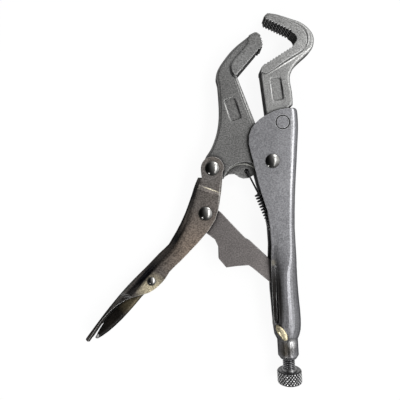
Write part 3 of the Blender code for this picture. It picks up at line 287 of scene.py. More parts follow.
def noise(tree, where, scale, detail, rough):
    made = node(tree, "ShaderNodeTexNoise")
    made.inputs["Scale"].default_value = scale
    made.inputs["Detail"].default_value = detail
    made.inputs["Roughness"].default_value = rough
    tree.links.new(where, made.inputs["Vector"])
    return made.outputs["Fac"]


def grey(value):
    return (value, value, value)


def ramp(tree, source, *stops):
    """A ramp's colour; each stop is a place from 0 to 1 and a colour or a level of grey."""
    made = node(tree, "ShaderNodeValToRGB")
    while len(made.color_ramp.elements) < len(stops):
        made.color_ramp.elements.new(0.5)
    for element, (place, tone) in zip(made.color_ramp.elements, stops):
        element.position = place
        element.color = (*(tone if isinstance(tone, tuple) else grey(tone)), 1)
    tree.links.new(source, made.inputs["Fac"])
    return made.outputs["Color"]


def blended(tree, kind, factor, a, b):
    """Mixes two colours; the factor is a number or a socket."""
    made = node(tree, "ShaderNodeMix", data_type="RGBA", blend_type=kind)
    for slot, source in (("Factor", factor), ("A", a), ("B", b)):
        feed(tree, made.inputs[slot], source)
    return made.outputs["Result"]


def multiplied(tree, colour, by):
    return blended(tree, "MULTIPLY", 1.0, colour, by)


def maths(tree, kind, *sources, clamp=False):
    made = node(tree, "ShaderNodeMath", operation=kind, use_clamp=clamp)
    for socket, source in zip(made.inputs, sources):
        feed(tree, socket, source)
    return made.outputs[0]


def vectors(tree, kind, a, b):
    """The difference, distance or dot product of two vectors."""
    made = node(tree, "ShaderNodeVectorMath", operation=kind)
    feed(tree, made.inputs[0], a)
    feed(tree, made.inputs[1], b)
    return made.outputs["Vector" if kind == "SUBTRACT" else "Value"]


def masked(tree, where, centre, reach):
    """1 at a place, fading to 0 at this reach from it."""
    away = vectors(tree, "DISTANCE", where, centre)
    return ramp(tree, maths(tree, "DIVIDE", away, reach), *PATCH_FADE)


def lined(tree, place, colour, off, half, painted_tone, point, reach):
    """The colour with a soft line where off is 0, fading out at this reach from the point."""
    gap = maths(tree, "DIVIDE", maths(tree, "ABSOLUTE", off), half)
    line = ramp(tree, gap, *LINE_FADE)
    near = masked(tree, place, point, reach)
    return blended(tree, "MIX", maths(tree, "MULTIPLY", line, near), colour, painted_tone)


def occlusion(tree, reach):
    """How open the surface is within this reach, from 0 in a corner to 1."""
    made = node(tree, "ShaderNodeAmbientOcclusion", samples=OCCLUSION_SAMPLES)
    made.inputs["Distance"].default_value = reach
    return made.outputs["AO"]


def roughened(tree, shader, source, roughness, low, high):
    """Roughness that follows the source, between these shares of its level."""
    rough = ramp(tree, source, *zip(ROUGH_ENDS, (roughness * low, roughness * high)))
    tree.links.new(rough, shader.inputs["Roughness"])


def steel(
    name, tone, light, roughness, mottle=0.28, side=0.45, steep=(0.15, 0.75), edge=0.7,
    painted_light_patches=(), painted_lines=(), rings=(), wear_highlight_gain=5.5, metallic=0.95,
):
    """Blasted and plated steel: cloudy and grained, with painted shade on steep sides and in
    corners, and edges lightened as wear and as painted highlight.

    A painted light patch is (centre, reach, colour): a lighter or darker spot painted where light
    or shade falls. A painted line is (point, direction across it, half its width, colour, reach),
    and a ring is (centre, radius, half its width, colour, point, reach); lines and rings are
    painted highlights and shadows along edges and steps.
    """
    made, tree, shader = new_material(name)
    place = node(tree, "ShaderNodeTexCoord").outputs["Object"]
    normal = node(tree, "ShaderNodeNewGeometry").outputs["Normal"]
    grain = noise(tree, place, *GRAIN)
    colour = ramp(tree, noise(tree, place, *CLOUD), *zip(CLOUD_ENDS, (tone, light)))
    # Painted light patches: lighter or darker spots painted where light or shade falls
    for centre, reach, patch_tone in painted_light_patches:
        colour = blended(tree, "MIX", masked(tree, place, centre, reach), colour, patch_tone)
    # Painted lines and rings: highlights and shadows painted along edges and steps
    for point, across, half, painted_tone, reach in painted_lines:
        off = vectors(tree, "DOT_PRODUCT", vectors(tree, "SUBTRACT", place, point), across)
        colour = lined(tree, place, colour, off, half, painted_tone, point, reach)
    for centre, radius, half, painted_tone, point, reach in rings:
        off = maths(tree, "SUBTRACT", vectors(tree, "DISTANCE", place, centre), radius)
        colour = lined(tree, place, colour, off, half, painted_tone, point, reach)
    fleck = ramp(tree, grain, *zip(FLECK_ENDS, (1 - mottle, 1 + mottle)))
    colour = multiplied(tree, colour, fleck)
    # Painted shade: the steeper a face, the darker, down to the side level at the steep ramp's low
    # end
    split = node(tree, "ShaderNodeSeparateXYZ")
    tree.links.new(normal, split.inputs[0])
    flat = maths(tree, "ABSOLUTE", split.outputs["Z"])
    colour = multiplied(tree, colour, ramp(tree, flat, *zip(steep, (side, 1.0))))
    # Painted shade in corners, hollows and between parts, from occlusion at two reaches
    corner_shade = occlusion(tree, CORNER_SHADE_REACH)
    colour = multiplied(tree, colour, ramp(tree, corner_shade, *CORNER_SHADE))
    colour = multiplied(tree, colour, ramp(tree, occlusion(tree, SOFT_SHADE_REACH), *SOFT_SHADE))
    # Edges lighten towards a grey: partly wear, partly a painted highlight along the rims
    rounder = node(tree, "ShaderNodeBevel", samples=WEAR_HIGHLIGHT_SAMPLES)
    rounder.inputs["Radius"].default_value = WEAR_HIGHLIGHT_RIM
    lean = vectors(tree, "DOT_PRODUCT", rounder.outputs["Normal"], normal)
    edge_wear_and_highlight = maths(tree, "MULTIPLY", maths(tree, "SUBTRACT", 1.0, lean), wear_highlight_gain, clamp=True)
    edge_wear_and_highlight = maths(tree, "MULTIPLY", maths(tree, "MULTIPLY", edge_wear_and_highlight, edge), corner_shade)
    colour = blended(tree, "MIX", edge_wear_and_highlight, colour, grey(WEAR_HIGHLIGHT_TONE))
    tree.links.new(colour, shader.inputs["Base Color"])
    roughened(tree, shader, grain, roughness, low=0.88, high=1.12)
    bump = node(tree, "ShaderNodeBump")
    bump.inputs["Strength"].default_value = PIT_STRENGTH
    bump.inputs["Distance"].default_value = PIT_DEPTH
    tree.links.new(noise(tree, place, *PITS), bump.inputs["Height"])
    tree.links.new(rounder.outputs["Normal"], bump.inputs["Normal"])
    tree.links.new(bump.outputs["Normal"], shader.inputs["Normal"])
    shader.inputs["Metallic"].default_value = metallic
    shader.inputs["Specular Tint"].default_value = (*DULL_TINT, 1)
    return made


def polished_steel(name, colour, roughness):
    """Polished steel, finely clouded, with a painted sheen that brightens the side facing the lit
    way.
    """
    made, tree, shader = new_material(name)
    place = node(tree, "ShaderNodeTexCoord").outputs["Object"]
    cloud = noise(tree, place, *POLISH)
    dim = tuple(level * POLISH_DIM for level in colour)
    tone = ramp(tree, cloud, *zip(FINE_ENDS, (dim, colour)))
    normal = node(tree, "ShaderNodeNewGeometry").outputs["Normal"]
    facing = vectors(tree, "DOT_PRODUCT", normal, PAINTED_LIGHT_WAY)
    painted_sheen = ramp(tree, facing, *PAINTED_SHEEN)
    tree.links.new(multiplied(tree, tone, painted_sheen), shader.inputs["Base Color"])
    roughened(tree, shader, cloud, roughness, low=0.8, high=1.25)
    shader.inputs["Metallic"].default_value = 1.0
    return made


def relief_metal(name, valley_shade, crest, roughness):
    """Cut steel painted dark in its valleys and bright on its crests: painted shade and highlight.
    """
    made, tree, shader = new_material(name)
    place = node(tree, "ShaderNodeTexCoord").outputs["Object"]
    relief = node(tree, "ShaderNodeAttribute", attribute_name="relief").outputs["Fac"]
    cloud = noise(tree, place, *RUBBING)
    # Painted shade in the grooves and painted highlight on the crests, along the relief
    tone = ramp(tree, relief, *zip(RELIEF_ENDS, (valley_shade, crest)))
    rub = ramp(tree, cloud, *RUB)
    tree.links.new(multiplied(tree, tone, rub), shader.inputs["Base Color"])
    roughened(tree, shader, cloud, roughness, low=0.85, high=1.2)
    shader.inputs["Metallic"].default_value = 0.9
    return made


def oiled_metal(name, dark, light, roughness, metallic):
    """Oiled steel, in fine clouds between two tones."""
    made, tree, shader = new_material(name)
    place = node(tree, "ShaderNodeTexCoord").outputs["Object"]
    cloud = noise(tree, place, *OIL)
    tone = ramp(tree, cloud, *zip(FINE_ENDS, (dark, light)))
    tree.links.new(tone, shader.inputs["Base Color"])
    roughened(tree, shader, cloud, roughness, low=0.85, high=1.2)
    shader.inputs["Metallic"].default_value = metallic
    return made


# Fixed jaw: a lighter patch toward the hook painted where the light falls, painted shadow and
# highlight lines along its steps, and painted shadow and highlight rings along the hook's rim
jaw_steel = steel(
    "forged_jaw_steel", (0.190, 0.190, 0.187), (0.236, 0.236, 0.231),
    roughness=0.42, mottle=0.32, side=0.22, steep=(0.1, 0.6),
    painted_light_patches=(((0.077, 0.092, 0.0153), 0.026, (0.30, 0.30, 0.295)),),
    painted_lines=(
        ((0.0576, 0.0924, 0.0149), (0.530, -0.848, 0.0), 0.00045, (0.035, 0.035, 0.035), 0.019),
        ((0.0581, 0.0917, 0.0149), (0.530, -0.848, 0.0), 0.00055, (0.80, 0.80, 0.78), 0.019),
        ((0.0547, 0.0746, 0.0148), (0.987, 0.162, 0.0), 0.00085, (0.012, 0.012, 0.012), 0.0100),
        ((0.0477, 0.0738, 0.0148), (0.993, 0.116, 0.0), 0.00060, (0.52, 0.52, 0.51), 0.0095),
    ),
    rings=(
        ((0.0613, 0.1079, 0.0149), 0.0106, 0.00045, (0.035, 0.035, 0.035),
         (0.0715, 0.1060, 0.0149), 0.0115),
        ((0.0613, 0.1079, 0.0149), 0.0114, 0.00050, (0.52, 0.52, 0.51),
         (0.0725, 0.1060, 0.0149), 0.0115),
    ),
)
# Movable jaw: a darker copy of the jaw steel as painted shade, a lighter patch painted on its pad,
# painted highlight and shadow lines along its neck, pad and step, and a painted highlight ring
# along its web's arch
shaded_movable_steel = steel(
    "movable_jaw_shaded_steel", (0.122, 0.121, 0.119), (0.165, 0.164, 0.161),
    roughness=0.42, mottle=0.37, side=0.30, steep=(0.1, 0.6),
    painted_light_patches=(((0.0285, 0.0915, 0.0150), 0.017, (0.205, 0.205, 0.203)),),
    painted_lines=(
        ((0.0297, 0.0657, 0.0148), (0.936, 0.352, 0.0), 0.00050, (0.46, 0.46, 0.45), 0.024),
        ((0.0292, 0.0655, 0.0148), (0.936, 0.352, 0.0), 0.00040, (0.03, 0.03, 0.03), 0.024),
        ((0.0287, 0.0653, 0.0148), (0.936, 0.352, 0.0), 0.00045, (0.28, 0.28, 0.275), 0.024),
        ((0.0253, 0.0615, 0.0148), (0.957, 0.291, 0.0), 0.00075, (0.010, 0.010, 0.010), 0.0092),
        ((0.0180, 0.0595, 0.0148), (0.956, 0.295, 0.0), 0.00055, (0.40, 0.40, 0.39), 0.0090),
        ((0.0205, 0.0868, 0.0152), (0.976, 0.216, 0.0), 0.00085, (0.015, 0.015, 0.015), 0.0042),
        ((0.0220, 0.0833, 0.0152), (0.826, 0.563, 0.0), 0.00100, (0.012, 0.012, 0.012), 0.0040),
    ),
    rings=(
        ((0.0288, 0.0115, 0.0111), 0.0129, 0.00060, (1.0, 1.0, 0.93),
         (0.0265, 0.0240, 0.0111), 0.026),
    ),
)
# Shell: darker patches on the collar's left and under the bead as painted shade, a painted
# highlight patch on the collar's right, a painted gold reflection at the top of the fold, a painted
# highlight band along the right rounding, and painted shade bands over the tube's left
shell_steel = steel(
    "pressed_shell_steel", (0.164, 0.164, 0.172), (0.197, 0.197, 0.206),
    roughness=0.34, mottle=0.25, side=0.5,
    painted_light_patches=(
        ((0.0570, -0.0975, 0.0165), 0.0092, (0.038, 0.034, 0.028)),
        ((0.0616, -0.0955, 0.0165), 0.0040, (0.46, 0.46, 0.46)),
        ((0.0485, -0.0415, 0.0150), 0.0030, (0.52, 0.48, 0.38)),
        ((0.0562, -0.1020, 0.0160), 0.0058, (0.030, 0.026, 0.021)),
    ),
    painted_lines=(
        ((0.0608, 0.0400, 0.0170), (0.9998, -0.0180, 0.0), 0.0012, (0.33, 0.33, 0.34), 0.050),
        ((0.0505, -0.0600, 0.0150), (0.9955, 0.0948, 0.0), 0.0052, (0.024, 0.023, 0.022), 0.038),
        ((0.0505, -0.0700, 0.0150), (0.9955, 0.0948, 0.0), 0.0046, (0.020, 0.019, 0.018), 0.026),
    ),
)
# Operating handle: lighter and darker patches painted where light and shade fall, a painted gold
# reflection near the lever's rivet, a painted shade band over the ears' step with a painted
# highlight line along it, near-black painted shade bands along its left web, and painted highlight
# lines along its rim and free edge
grip_steel = steel(
    "pressed_grip_steel", (0.108, 0.097, 0.090), (0.152, 0.135, 0.122),
    roughness=0.36, mottle=0.40, side=0.13, steep=(0.3, 0.97),
    painted_light_patches=(
        ((-0.004, -0.034, 0.0162), 0.030, (0.225, 0.180, 0.147)),
        ((-0.058, -0.083, 0.0150), 0.034, (0.036, 0.033, 0.030)),
        ((-0.0325, -0.0585, 0.0168), 0.0115, (0.62, 0.55, 0.385)),
        ((0.006, 0.017, 0.0165), 0.011, (0.160, 0.150, 0.143)),
    ),
    painted_lines=(
        ((-0.0019, 0.0086, 0.0160), (0.338, 0.941, 0.0), 0.0020, (0.060, 0.055, 0.050), 0.0085),
        ((0.0079, 0.0067, 0.0165), (0.338, 0.941, 0.0), 0.00042, (0.50, 0.46, 0.35), 0.0066),
        ((-0.0046, 0.0046, 0.0160), (0.954, -0.300, 0.0), 0.0024, (0.014, 0.013, 0.013), 0.0180),
        ((-0.0117, -0.0122, 0.0160), (0.935, -0.354, 0.0), 0.0022, (0.014, 0.013, 0.013), 0.0140),
        ((0.0128, 0.0037, 0.0165), (0.996, -0.088, 0.0), 0.00040, (0.34, 0.33, 0.31), 0.0150),
        ((-0.0161, -0.0255, 0.0165), (0.843, -0.537, 0.0), 0.0028, (0.014, 0.014, 0.015), 0.019),
        ((-0.0370, -0.0510, 0.0165), (0.761, -0.649, 0.0), 0.0030, (0.010, 0.010, 0.012), 0.036),
        ((-0.0392, -0.0465, 0.0155), (0.761, -0.649, 0.0), 0.0013, (0.30, 0.32, 0.30), 0.034),
    ),
)
link_steel = steel(
    "link_steel", (0.112, 0.103, 0.101), (0.145, 0.133, 0.130), roughness=0.40, mottle=0.26,
)
# Release lever and the tail's lip: near black as painted shade, with a painted brown reflection on
# the lever's middle
lever_painted_shade_steel = steel(
    "lever_painted_shade_steel", (0.006, 0.006, 0.006), (0.013, 0.011, 0.009),
    roughness=0.32, side=0.9, wear_highlight_gain=8.0, metallic=1.0,
    painted_light_patches=(((-0.0445, -0.0680, 0.0094), 0.0120, (0.115, 0.095, 0.058)),),
)
# The seam's bead: gold as a painted reflection
gold_reflection_bead = steel(
    "gold_reflection_bead", (0.27, 0.235, 0.15), (0.48, 0.43, 0.30),
    roughness=0.30, mottle=0.35, side=0.7, edge=0.0,
)
rivet_steel = polished_steel("polished_rivet_steel", (0.155, 0.153, 0.148), roughness=0.12)
# Screw and knob: painted shade in their grooves and painted highlight on their crests
screw_steel = relief_metal(
    "phosphated_screw_steel", (0.02, 0.02, 0.021), (0.22, 0.22, 0.225), roughness=0.26,
)
knob_steel = relief_metal(
    "knurled_knob_steel", (0.009, 0.009, 0.010), (0.42, 0.42, 0.42), roughness=0.24,
)
spring_black = oiled_metal(
    "oiled_spring_wire", (0.014, 0.014, 0.015), (0.032, 0.032, 0.034),
    roughness=0.3, metallic=0.8,
)

# What each CAD node is finished in
WEAR = {
    "fixed_handle": shell_steel, "fixed_jaw": jaw_steel, "fixed_jaw_rivet": shell_steel,
    "jaw_pivot_rivet": rivet_steel, "screw_nut": spring_black, "return_spring": spring_black,
    "movable_jaw": shaded_movable_steel, "operating_handle": grip_steel,
    "handle_pivot_rivet": rivet_steel, "link_rivet": rivet_steel, "lever_rivet": rivet_steel,
    "toggle_link": link_steel, "release_lever": lever_painted_shade_steel, "adjusting_screw": screw_steel,
    "knurled_knob": knob_steel,
}
for name, material in WEAR.items():
    solid = frame["nodes"][name]
    if not solid.material_slots:
        solid.data.materials.append(material)
    for slot in solid.material_slots:
        slot.material = material


# Pieces of finer form

def linked(name, mesh, material, sharp, relief=None):
    """The mesh as an object, with edges over this angle kept sharp.

    Relief is how high each point stands, from 0 in a groove to 1 on a crest.
    """
    data = bpy.data.meshes.new(name)
    bmesh.ops.recalc_face_normals(mesh, faces=mesh.faces)
    mesh.to_mesh(data)
    mesh.free()
    if relief:
        data.attributes.new("relief", "FLOAT", "POINT").data.foreach_set("value", relief)
    data.materials.append(material)
    data.shade_smooth()
    data.set_sharp_from_angle(angle=math.radians(sharp))
    made = bpy.data.objects.new(name, data)
    bpy.context.collection.objects.link(made)
    return made


def skinned(mesh, rings):
    """Joins each ring of points to the next, and closes both ends."""
    for below, above in zip(rings, rings[1:]):
        for i in range(len(below)):
            j = (i + 1) % len(below)
            mesh.faces.new((below[i], below[j], above[j], above[i]))
    mesh.faces.new(rings[0][::-1])
    mesh.faces.new(rings[-1])


def turned(heights, segments, radius_at):
    """A closed turned form of a ring at each height; radius_at(ring, angle) is a point's radius."""
    mesh = bmesh.new()
    rings = []
    for place, height in enumerate(heights):
        ring = []
        for i in range(segments):
            angle = 2 * math.pi * i / segments
            radius = radius_at(place, angle)
            ring.append(
                mesh.verts.new((radius * math.cos(angle), radius * math.sin(angle), height))
            )
        rings.append(ring)
    skinned(mesh, rings)
    return mesh


def lathed(profile, segments):
    """A closed round form; each point of its profile is a radius and a height."""
    return turned([height for _, height in profile], segments, lambda ring, _: profile[ring][0])


def laid_along_screw(mesh, start):
    turn = Matrix.Rotation(SCREW_TILT, 4, "Z") @ Matrix.Rotation(math.pi / 2, 4, "X")
    bmesh.ops.transform(mesh, matrix=turn, verts=mesh.verts)
    bmesh.ops.translate(mesh, verts=mesh.verts, vec=start)


def clamped(value):
    return min(max(value, 0), 1)


def threaded_screw():
    """The adjusting screw with its real helical thread, from the link's tip into the knob."""
    start = LINK_TIP + SCREW_HEADING * SCREW_START
    reach = KNOB_ALONG + KNOB_LENGTH - KNOB_FACE_WALL - SCREW_SHORT
    length = (SCREW_BASE + SCREW_HEADING * reach - start).length
    steps = int(length / THREAD_PITCH * THREAD_ROWS)
    heights = [length * i / steps for i in range(steps + 1)]

    def radius(ring, angle):
        turn = (heights[ring] / THREAD_PITCH - angle / (2 * math.pi)) % 1
        crest = clamped((abs(2 * turn - 1) - THREAD_ROOT) / THREAD_FLANK)
        taper = min(1, TIP_SHARE + heights[ring] / TIP_LENGTH)
        return (SCREW_RADIUS - THREAD_DEPTH * (1 - crest)) * taper

    mesh = turned(heights, SCREW_SIDES, radius)
    relief = [(math.hypot(v.co.x, v.co.y) - SCREW_RADIUS) / THREAD_DEPTH + 1 for v in mesh.verts]
    laid_along_screw(mesh, start)
    made = linked("threaded_screw", mesh, screw_steel, sharp=60, relief=relief)
    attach(made, "screw")
    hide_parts("adjusting_screw")


def fine_knob():
    """The knob with its boss, chamfered faces and crossed knurl grooves."""
    rise = KNURL_HIGH - KNURL_LOW
    band = [(None, KNURL_LOW + rise * i / KNURL_ROWS) for i in range(KNURL_ROWS + 1)]
    profile = [*KNOB_FACE, *band, *KNOB_END]
    pitch = 2 * math.pi * KNOB_RADIUS / KNURL_COUNT * KNURL_STRETCH

    def ridge(value):
        return 1 - abs(2 * (value % 1) - 1)

    def radius(ring, angle):
        fixed, height = profile[ring]
        if fixed is not None:
            return fixed
        around = KNURL_COUNT * angle / (2 * math.pi)
        lower = min(ridge(around + height / pitch), ridge(around - height / pitch))
        crown = clamped((lower - KNURL_ROOT) / KNURL_FLANK)
        return KNOB_RADIUS - KNURL_SHY - KNURL_DEPTH * (1 - crown)

    mesh = turned([height for _, height in profile], KNURL_COUNT * KNURL_SIDES, radius)
    relief = []
    for vert in mesh.verts:
        out = math.hypot(vert.co.x, vert.co.y)
        if out > KNOB_RADIUS - KNURL_DEPTH - KNURL_MARGIN:
            relief.append((out - KNOB_RADIUS) / KNURL_DEPTH + 1)
        else:
            relief.append(FACE_RELIEF if out > BOSS_RADIUS else BOSS_RELIEF)
    laid_along_screw(mesh, SCREW_BASE + SCREW_HEADING * KNOB_ALONG)
    made = linked("diamond_knurled_knob", mesh, knob_steel, sharp=50, relief=relief)
    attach(made, "knob")
    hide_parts("knurled_knob")


def wire(points, radii, sides):
    """A round wire through these points, with parallel frames and closed ends."""
    mesh = bmesh.new()
    rings = []
    side = Vector((0, 0, 1))
    for i, (place, radius) in enumerate(zip(points, radii)):
        along = (points[min(i + 1, len(points) - 1)] - points[max(i - 1, 0)]).normalized()
        side = side - along * side.dot(along)
        if side.length < NO_LENGTH:
            side = along.orthogonal()
        side.normalize()
        up = along.cross(side)
        ring = []
        for k in range(sides):
            turn = 2 * math.pi * k / sides
            out = side * math.cos(turn) + up * math.sin(turn)
            ring.append(mesh.verts.new(place + out * radius))
        rings.append(ring)
    skinned(mesh, rings)
    return mesh


def smooth_path(points):
    """A smooth curve that passes through each point."""
    padded = [2 * points[0] - points[1], *points, 2 * points[-1] - points[-2]]
    made = []
    for a, b, c, d in zip(padded, padded[1:], padded[2:], padded[3:]):
        for step in range(PATH_STEPS):
            t = step / PATH_STEPS
            square = (2 * a - 5 * b + 4 * c - d) * t**2
            cube = (3 * b - a - 3 * c + d) * t**3
            made.append((2 * b + (c - a) * t + square + cube) / 2)
    return made + [points[-1].copy()]


def spring_route():
    """The tension spring's centre line, along the frame's own: eye, long shank, coil and hook."""
    axis = (SPRING_ANCHOR - COIL_TOP).normalized()
    pitch = (SPRING_ANCHOR - COIL_TOP).length * COIL_SHARE / COIL_TURNS
    beside = Vector((axis.y, -axis.x, 0))
    rise = Vector((0, 0, 1))
    side = WEB_THICKNESS / 2
    clear = side + 3 * WIRE_RADIUS
    under = SPRING_HOLE - rise * (clear + WIRE_RADIUS)
    head = []
    for i in range(EYE_POINTS):
        turn = math.pi * i / EYE_HALF_TURN
        out = Vector((math.cos(turn), math.sin(turn), 0))
        head.append(under + out * (EYE_RADIUS - EYE_SHRINK * i))
    head += [
        SPRING_HOLE - rise * (clear - WIRE_RADIUS), SPRING_HOLE - rise * side,
        SPRING_HOLE + rise * side, SPRING_HOLE + rise * clear,
    ]
    reach = COIL_TOP + rise * COIL_RADIUS
    head[-1] = head[-1] + (reach - head[-1]).normalized() * WIRE_RADIUS
    head += [head[-1] + (reach - head[-1]) * share for share in SHANK_SHARES]
    turns = []
    for i in range(COIL_TURNS * COIL_POINTS + 1):
        turn = 2 * math.pi * i / COIL_POINTS
        out = beside * math.sin(turn) + rise * math.cos(turn)
        turns.append(COIL_TOP + axis * (pitch * i / COIL_POINTS) + out * COIL_RADIUS)
    down = Vector((0, -1, 0))
    entry = SPRING_ANCHOR - down * (SHEET + 4 * WIRE_RADIUS)
    leave = turns[-1]
    tail = [leave + axis * (2 * WIRE_RADIUS) + (entry - leave) * share for share in LEAD_SHARES]
    bottom = SPRING_ANCHOR + down * (SHEET / 2 + 2 * WIRE_RADIUS)
    tail += [entry, SPRING_ANCHOR - down * SHEET / 2, bottom]
    curl = 3 * WIRE_RADIUS
    centre = bottom + Vector((-curl, 0, 0))
    for i in range(1, HOOK_HALF_TURN):
        turn = -math.pi * i / HOOK_HALF_TURN
        tail.append(centre + Vector((math.cos(turn), math.sin(turn), 0)) * curl)
    return smooth_path(head) + turns[1:-1] + smooth_path([turns[-1], *tail])


def tension_spring():
    """The spring that draws the jaws apart, one wire from the jaw's hole to the handle's sheet."""
    route = spring_route()
    mesh = wire(route, [WIRE_SHOWN] * len(route), WIRE_SIDES)
    made = linked("tension_spring", mesh, spring_black, sharp=60)
    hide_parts("return_spring")
    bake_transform(made)


def domed_rivet(node_name, body, height):
    """A rivet with a round polished dome at each end, where the frame's own stands."""
    low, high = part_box(node_name)
    centre = (Vector(low) + Vector(high)) / 2
    radius = (high[0] - low[0]) / 2
    top = (high[2] - low[2]) / 2
    sphere = (radius**2 + height**2) / (2 * height)
    cap = []
    for i in range(1, DOME_STEPS + 1):
        out = radius * math.sin(math.pi / 2 * i / DOME_STEPS)
        cap.append((out, top - sphere + math.sqrt(sphere**2 - out**2)))
    core = radius * DOME_CORE
    foot = [(out, -rise) for out, rise in cap]
    mesh = lathed([*foot, (core, height - top), (core, top - height), *cap[::-1]], DOME_SIDES)
    bmesh.ops.translate(mesh, verts=mesh.verts, vec=centre)
    made = linked("round_" + node_name, mesh, rivet_steel, sharp=50)
    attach(made, body)
    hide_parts(node_name)


def flush_rivet():
    """The jaw's rivet, ground flush on both cheeks: only a fine ring shows round it."""
    top = MIDDLE + CHEEK_HALF
    bottom = MIDDLE - CHEEK_HALF
    foot = [(radius, bottom + depth) for radius, depth in FLUSH_HALF]
    head = [(radius, top - depth) for radius, depth in FLUSH_HALF[::-1]]
    mesh = lathed(foot + head, FLUSH_SIDES)
    bmesh.ops.translate(mesh, verts=mesh.verts, vec=FLUSH_RIVET)
    made = linked("flush_jaw_rivet", mesh, shell_steel, sharp=30)
    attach(made, "frame")
    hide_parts("fixed_jaw_rivet")


def tube_edges(up):
    """The tube's front and back edges at this share of the handle's fall."""
    for above, below in zip(TUBE_EDGES, TUBE_EDGES[1:]):
        if up >= below[0]:
            break
    part = (above[0] - up) / (above[0] - below[0])
    return above[1] + (below[1] - above[1]) * part, above[2] + (below[2] - above[2]) * part


def seam_bead(name, side):
    """The bead that closes the pressed seam above the collar, gold as a painted reflection."""
    path, radii = [], []
    for up, angle, radius in BEAD_SHARES:
        front, back = tube_edges(up)
        around = (back - front) / 2 - radius * BEAD_SUNK + BEAD_PROUD
        path.append(Vector((
            JAW_PIVOT.x + (front + back) / 2 - around * math.cos(angle),
            JAW_PIVOT.y + up * HANDLE_FALL,
            MIDDLE + side * around * math.sin(angle),
        )))
        radii.append(radius)
    fine = smooth_path(path)
    widths = []
    for i in range(len(fine)):
        low = min(i // PATH_STEPS, len(radii) - 2)
        widths.append(radii[low] + (radii[low + 1] - radii[low]) * (i / PATH_STEPS - low))
    mesh = wire(fine, widths, BEAD_SIDES)
    for vert in mesh.verts:
        ripple = math.sin(vert.co.x * RIPPLE_ACROSS)
        ripple *= math.sin(vert.co.y * RIPPLE_ALONG + RIPPLE_SHIFT)
        vert.co += Vector((*RIPPLE_LEAN, side)) * (RIPPLE_HEIGHT * ripple)
        over = side * (vert.co.z - MIDDLE) - BEAD_SHOULDER
        if over > 0:
            rest = BEAD_CROWN * (1 - math.exp(-over / BEAD_CROWN))
            vert.co.z = MIDDLE + side * (BEAD_SHOULDER + rest)
    made = linked(name, mesh, gold_reflection_bead, sharp=60)
    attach(made, "frame")


def tail_lip():
    """The strip of the far cheek that closes the view past the release lever, near black as painted
    shade.
    """
    ways = [TAIL_START + TAIL_ALONG * way for way, _, _ in TAIL_LIP]
    inner, outer = (
        smooth_path([way + TAIL_ACROSS * row[edge] for way, row in zip(ways, TAIL_LIP)])
        for edge in (1, 2)
    )
    mesh = bmesh.new()
    rings = []
    for near, far in zip(inner, outer):
        corners = ((near, LIP_LOW), (far, LIP_LOW), (far, LIP_HIGH), (near, LIP_HIGH))
        rings.append([mesh.verts.new((place.x, place.y, height)) for place, height in corners])
    skinned(mesh, rings)
    made = linked("tail_far_lip", mesh, lever_painted_shade_steel, sharp=40)
    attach(made, "grip")


tail_lip()
threaded_screw()
fine_knob()
tension_spring()
flush_rivet()
for rivet, body, dome in DOMED_RIVETS:
    domed_rivet(rivet, body, dome)
seam_bead("seam_bead_near", 1)
seam_bead("seam_bead_far", -1)


# Stage, camera and light

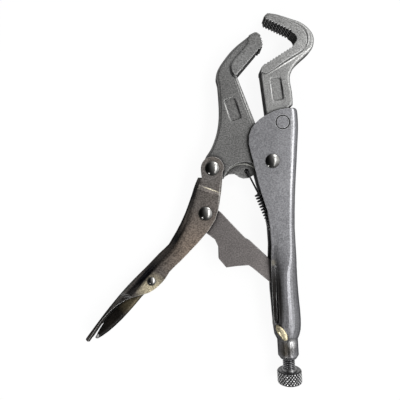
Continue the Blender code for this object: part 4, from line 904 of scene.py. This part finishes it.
def stage():
    """A matt floor that shows as near white, and keeps the tool's shadow."""
    mesh = bpy.data.meshes.new("studio_floor")
    corners = ((-1, -1), (1, -1), (1, 1), (-1, 1))
    mesh.from_pydata(
        [(x * FLOOR_HALF, y * FLOOR_HALF, -FLOOR_DROP) for x, y in corners], [], [(0, 1, 2, 3)],
    )
    floor = bpy.data.objects.new("studio_floor", mesh)
    bpy.context.collection.objects.link(floor)
    made, tree, shader = new_material("white_floor")
    tree.nodes.remove(shader)
    out = tree.nodes["Material Output"]
    matt = node(tree, "ShaderNodeBsdfDiffuse")
    matt.inputs["Color"].default_value = (*grey(FLOOR_TONE), 1)
    glow = node(tree, "ShaderNodeEmission")
    glow.inputs["Color"].default_value = (1, 1, 1, 1)
    glow.inputs["Strength"].default_value = 1.0
    ray = node(tree, "ShaderNodeLightPath")
    seen = maths(tree, "MAXIMUM", ray.outputs["Is Camera Ray"], ray.outputs["Is Glossy Ray"])
    seen = maths(tree, "MAXIMUM", seen, ray.outputs["Is Transmission Ray"])
    mix = node(tree, "ShaderNodeMixShader")
    tree.links.new(maths(tree, "MULTIPLY", seen, FLOOR_SHOWN), mix.inputs["Fac"])
    tree.links.new(matt.outputs[0], mix.inputs[1])
    tree.links.new(glow.outputs[0], mix.inputs[2])
    tree.links.new(mix.outputs[0], out.inputs["Surface"])
    mesh.materials.append(made)


def camera():
    data = bpy.data.cameras.new("camera")
    data.sensor_width = SENSOR_SIDE
    data.lens = SENSOR_SIDE * CAMERA_HEIGHT / FRAME_SIDE
    data.clip_start = CAMERA_CLIP
    made = bpy.data.objects.new("camera", data)
    made.location = (0.0, 0.0, MIDDLE + CAMERA_HEIGHT)
    bpy.context.collection.objects.link(made)
    bpy.context.scene.camera = made


def softbox(name, place, size, power):
    data = bpy.data.lights.new(name, "AREA")
    data.shape = "RECTANGLE"
    data.size, data.size_y = size
    data.energy = power
    made = bpy.data.objects.new(name, data)
    made.location = place
    made.rotation_euler = (-Vector(place)).to_track_quat("-Z", "Y").to_euler()
    bpy.context.collection.objects.link(made)


def world():
    """The studio's light, which is what the steel mirrors."""
    made = bpy.data.worlds.new("studio")
    bpy.context.scene.world = made
    made.use_nodes = True
    tree = made.node_tree
    back = tree.nodes["Background"]
    place = node(tree, "ShaderNodeTexCoord").outputs["Generated"]
    split = node(tree, "ShaderNodeSeparateXYZ")
    tree.links.new(place, split.inputs[0])
    angle = maths(tree, "ARCTAN2", split.outputs["X"], split.outputs["Z"])
    share = maths(tree, "MULTIPLY_ADD", angle, 0.5 / math.pi, 0.5)
    stops = [((degrees + 180) / 360, level / STUDIO_TOP) for degrees, level in STUDIO]
    low = ramp(tree, split.outputs["Z"], (WHITE_BELOW, 1), (STUDIO_ABOVE, 0))
    sky = blended(tree, "MIX", low, ramp(tree, share, *stops), grey(1.0 / STUDIO_TOP))
    tree.links.new(sky, back.inputs["Color"])
    back.inputs["Strength"].default_value = STUDIO_TOP


stage()
camera()
world()
for lamp, place, size, power in LAMPS:
    softbox(lamp, place, size, power)

bpy.context.scene.view_settings.view_transform = "Standard"
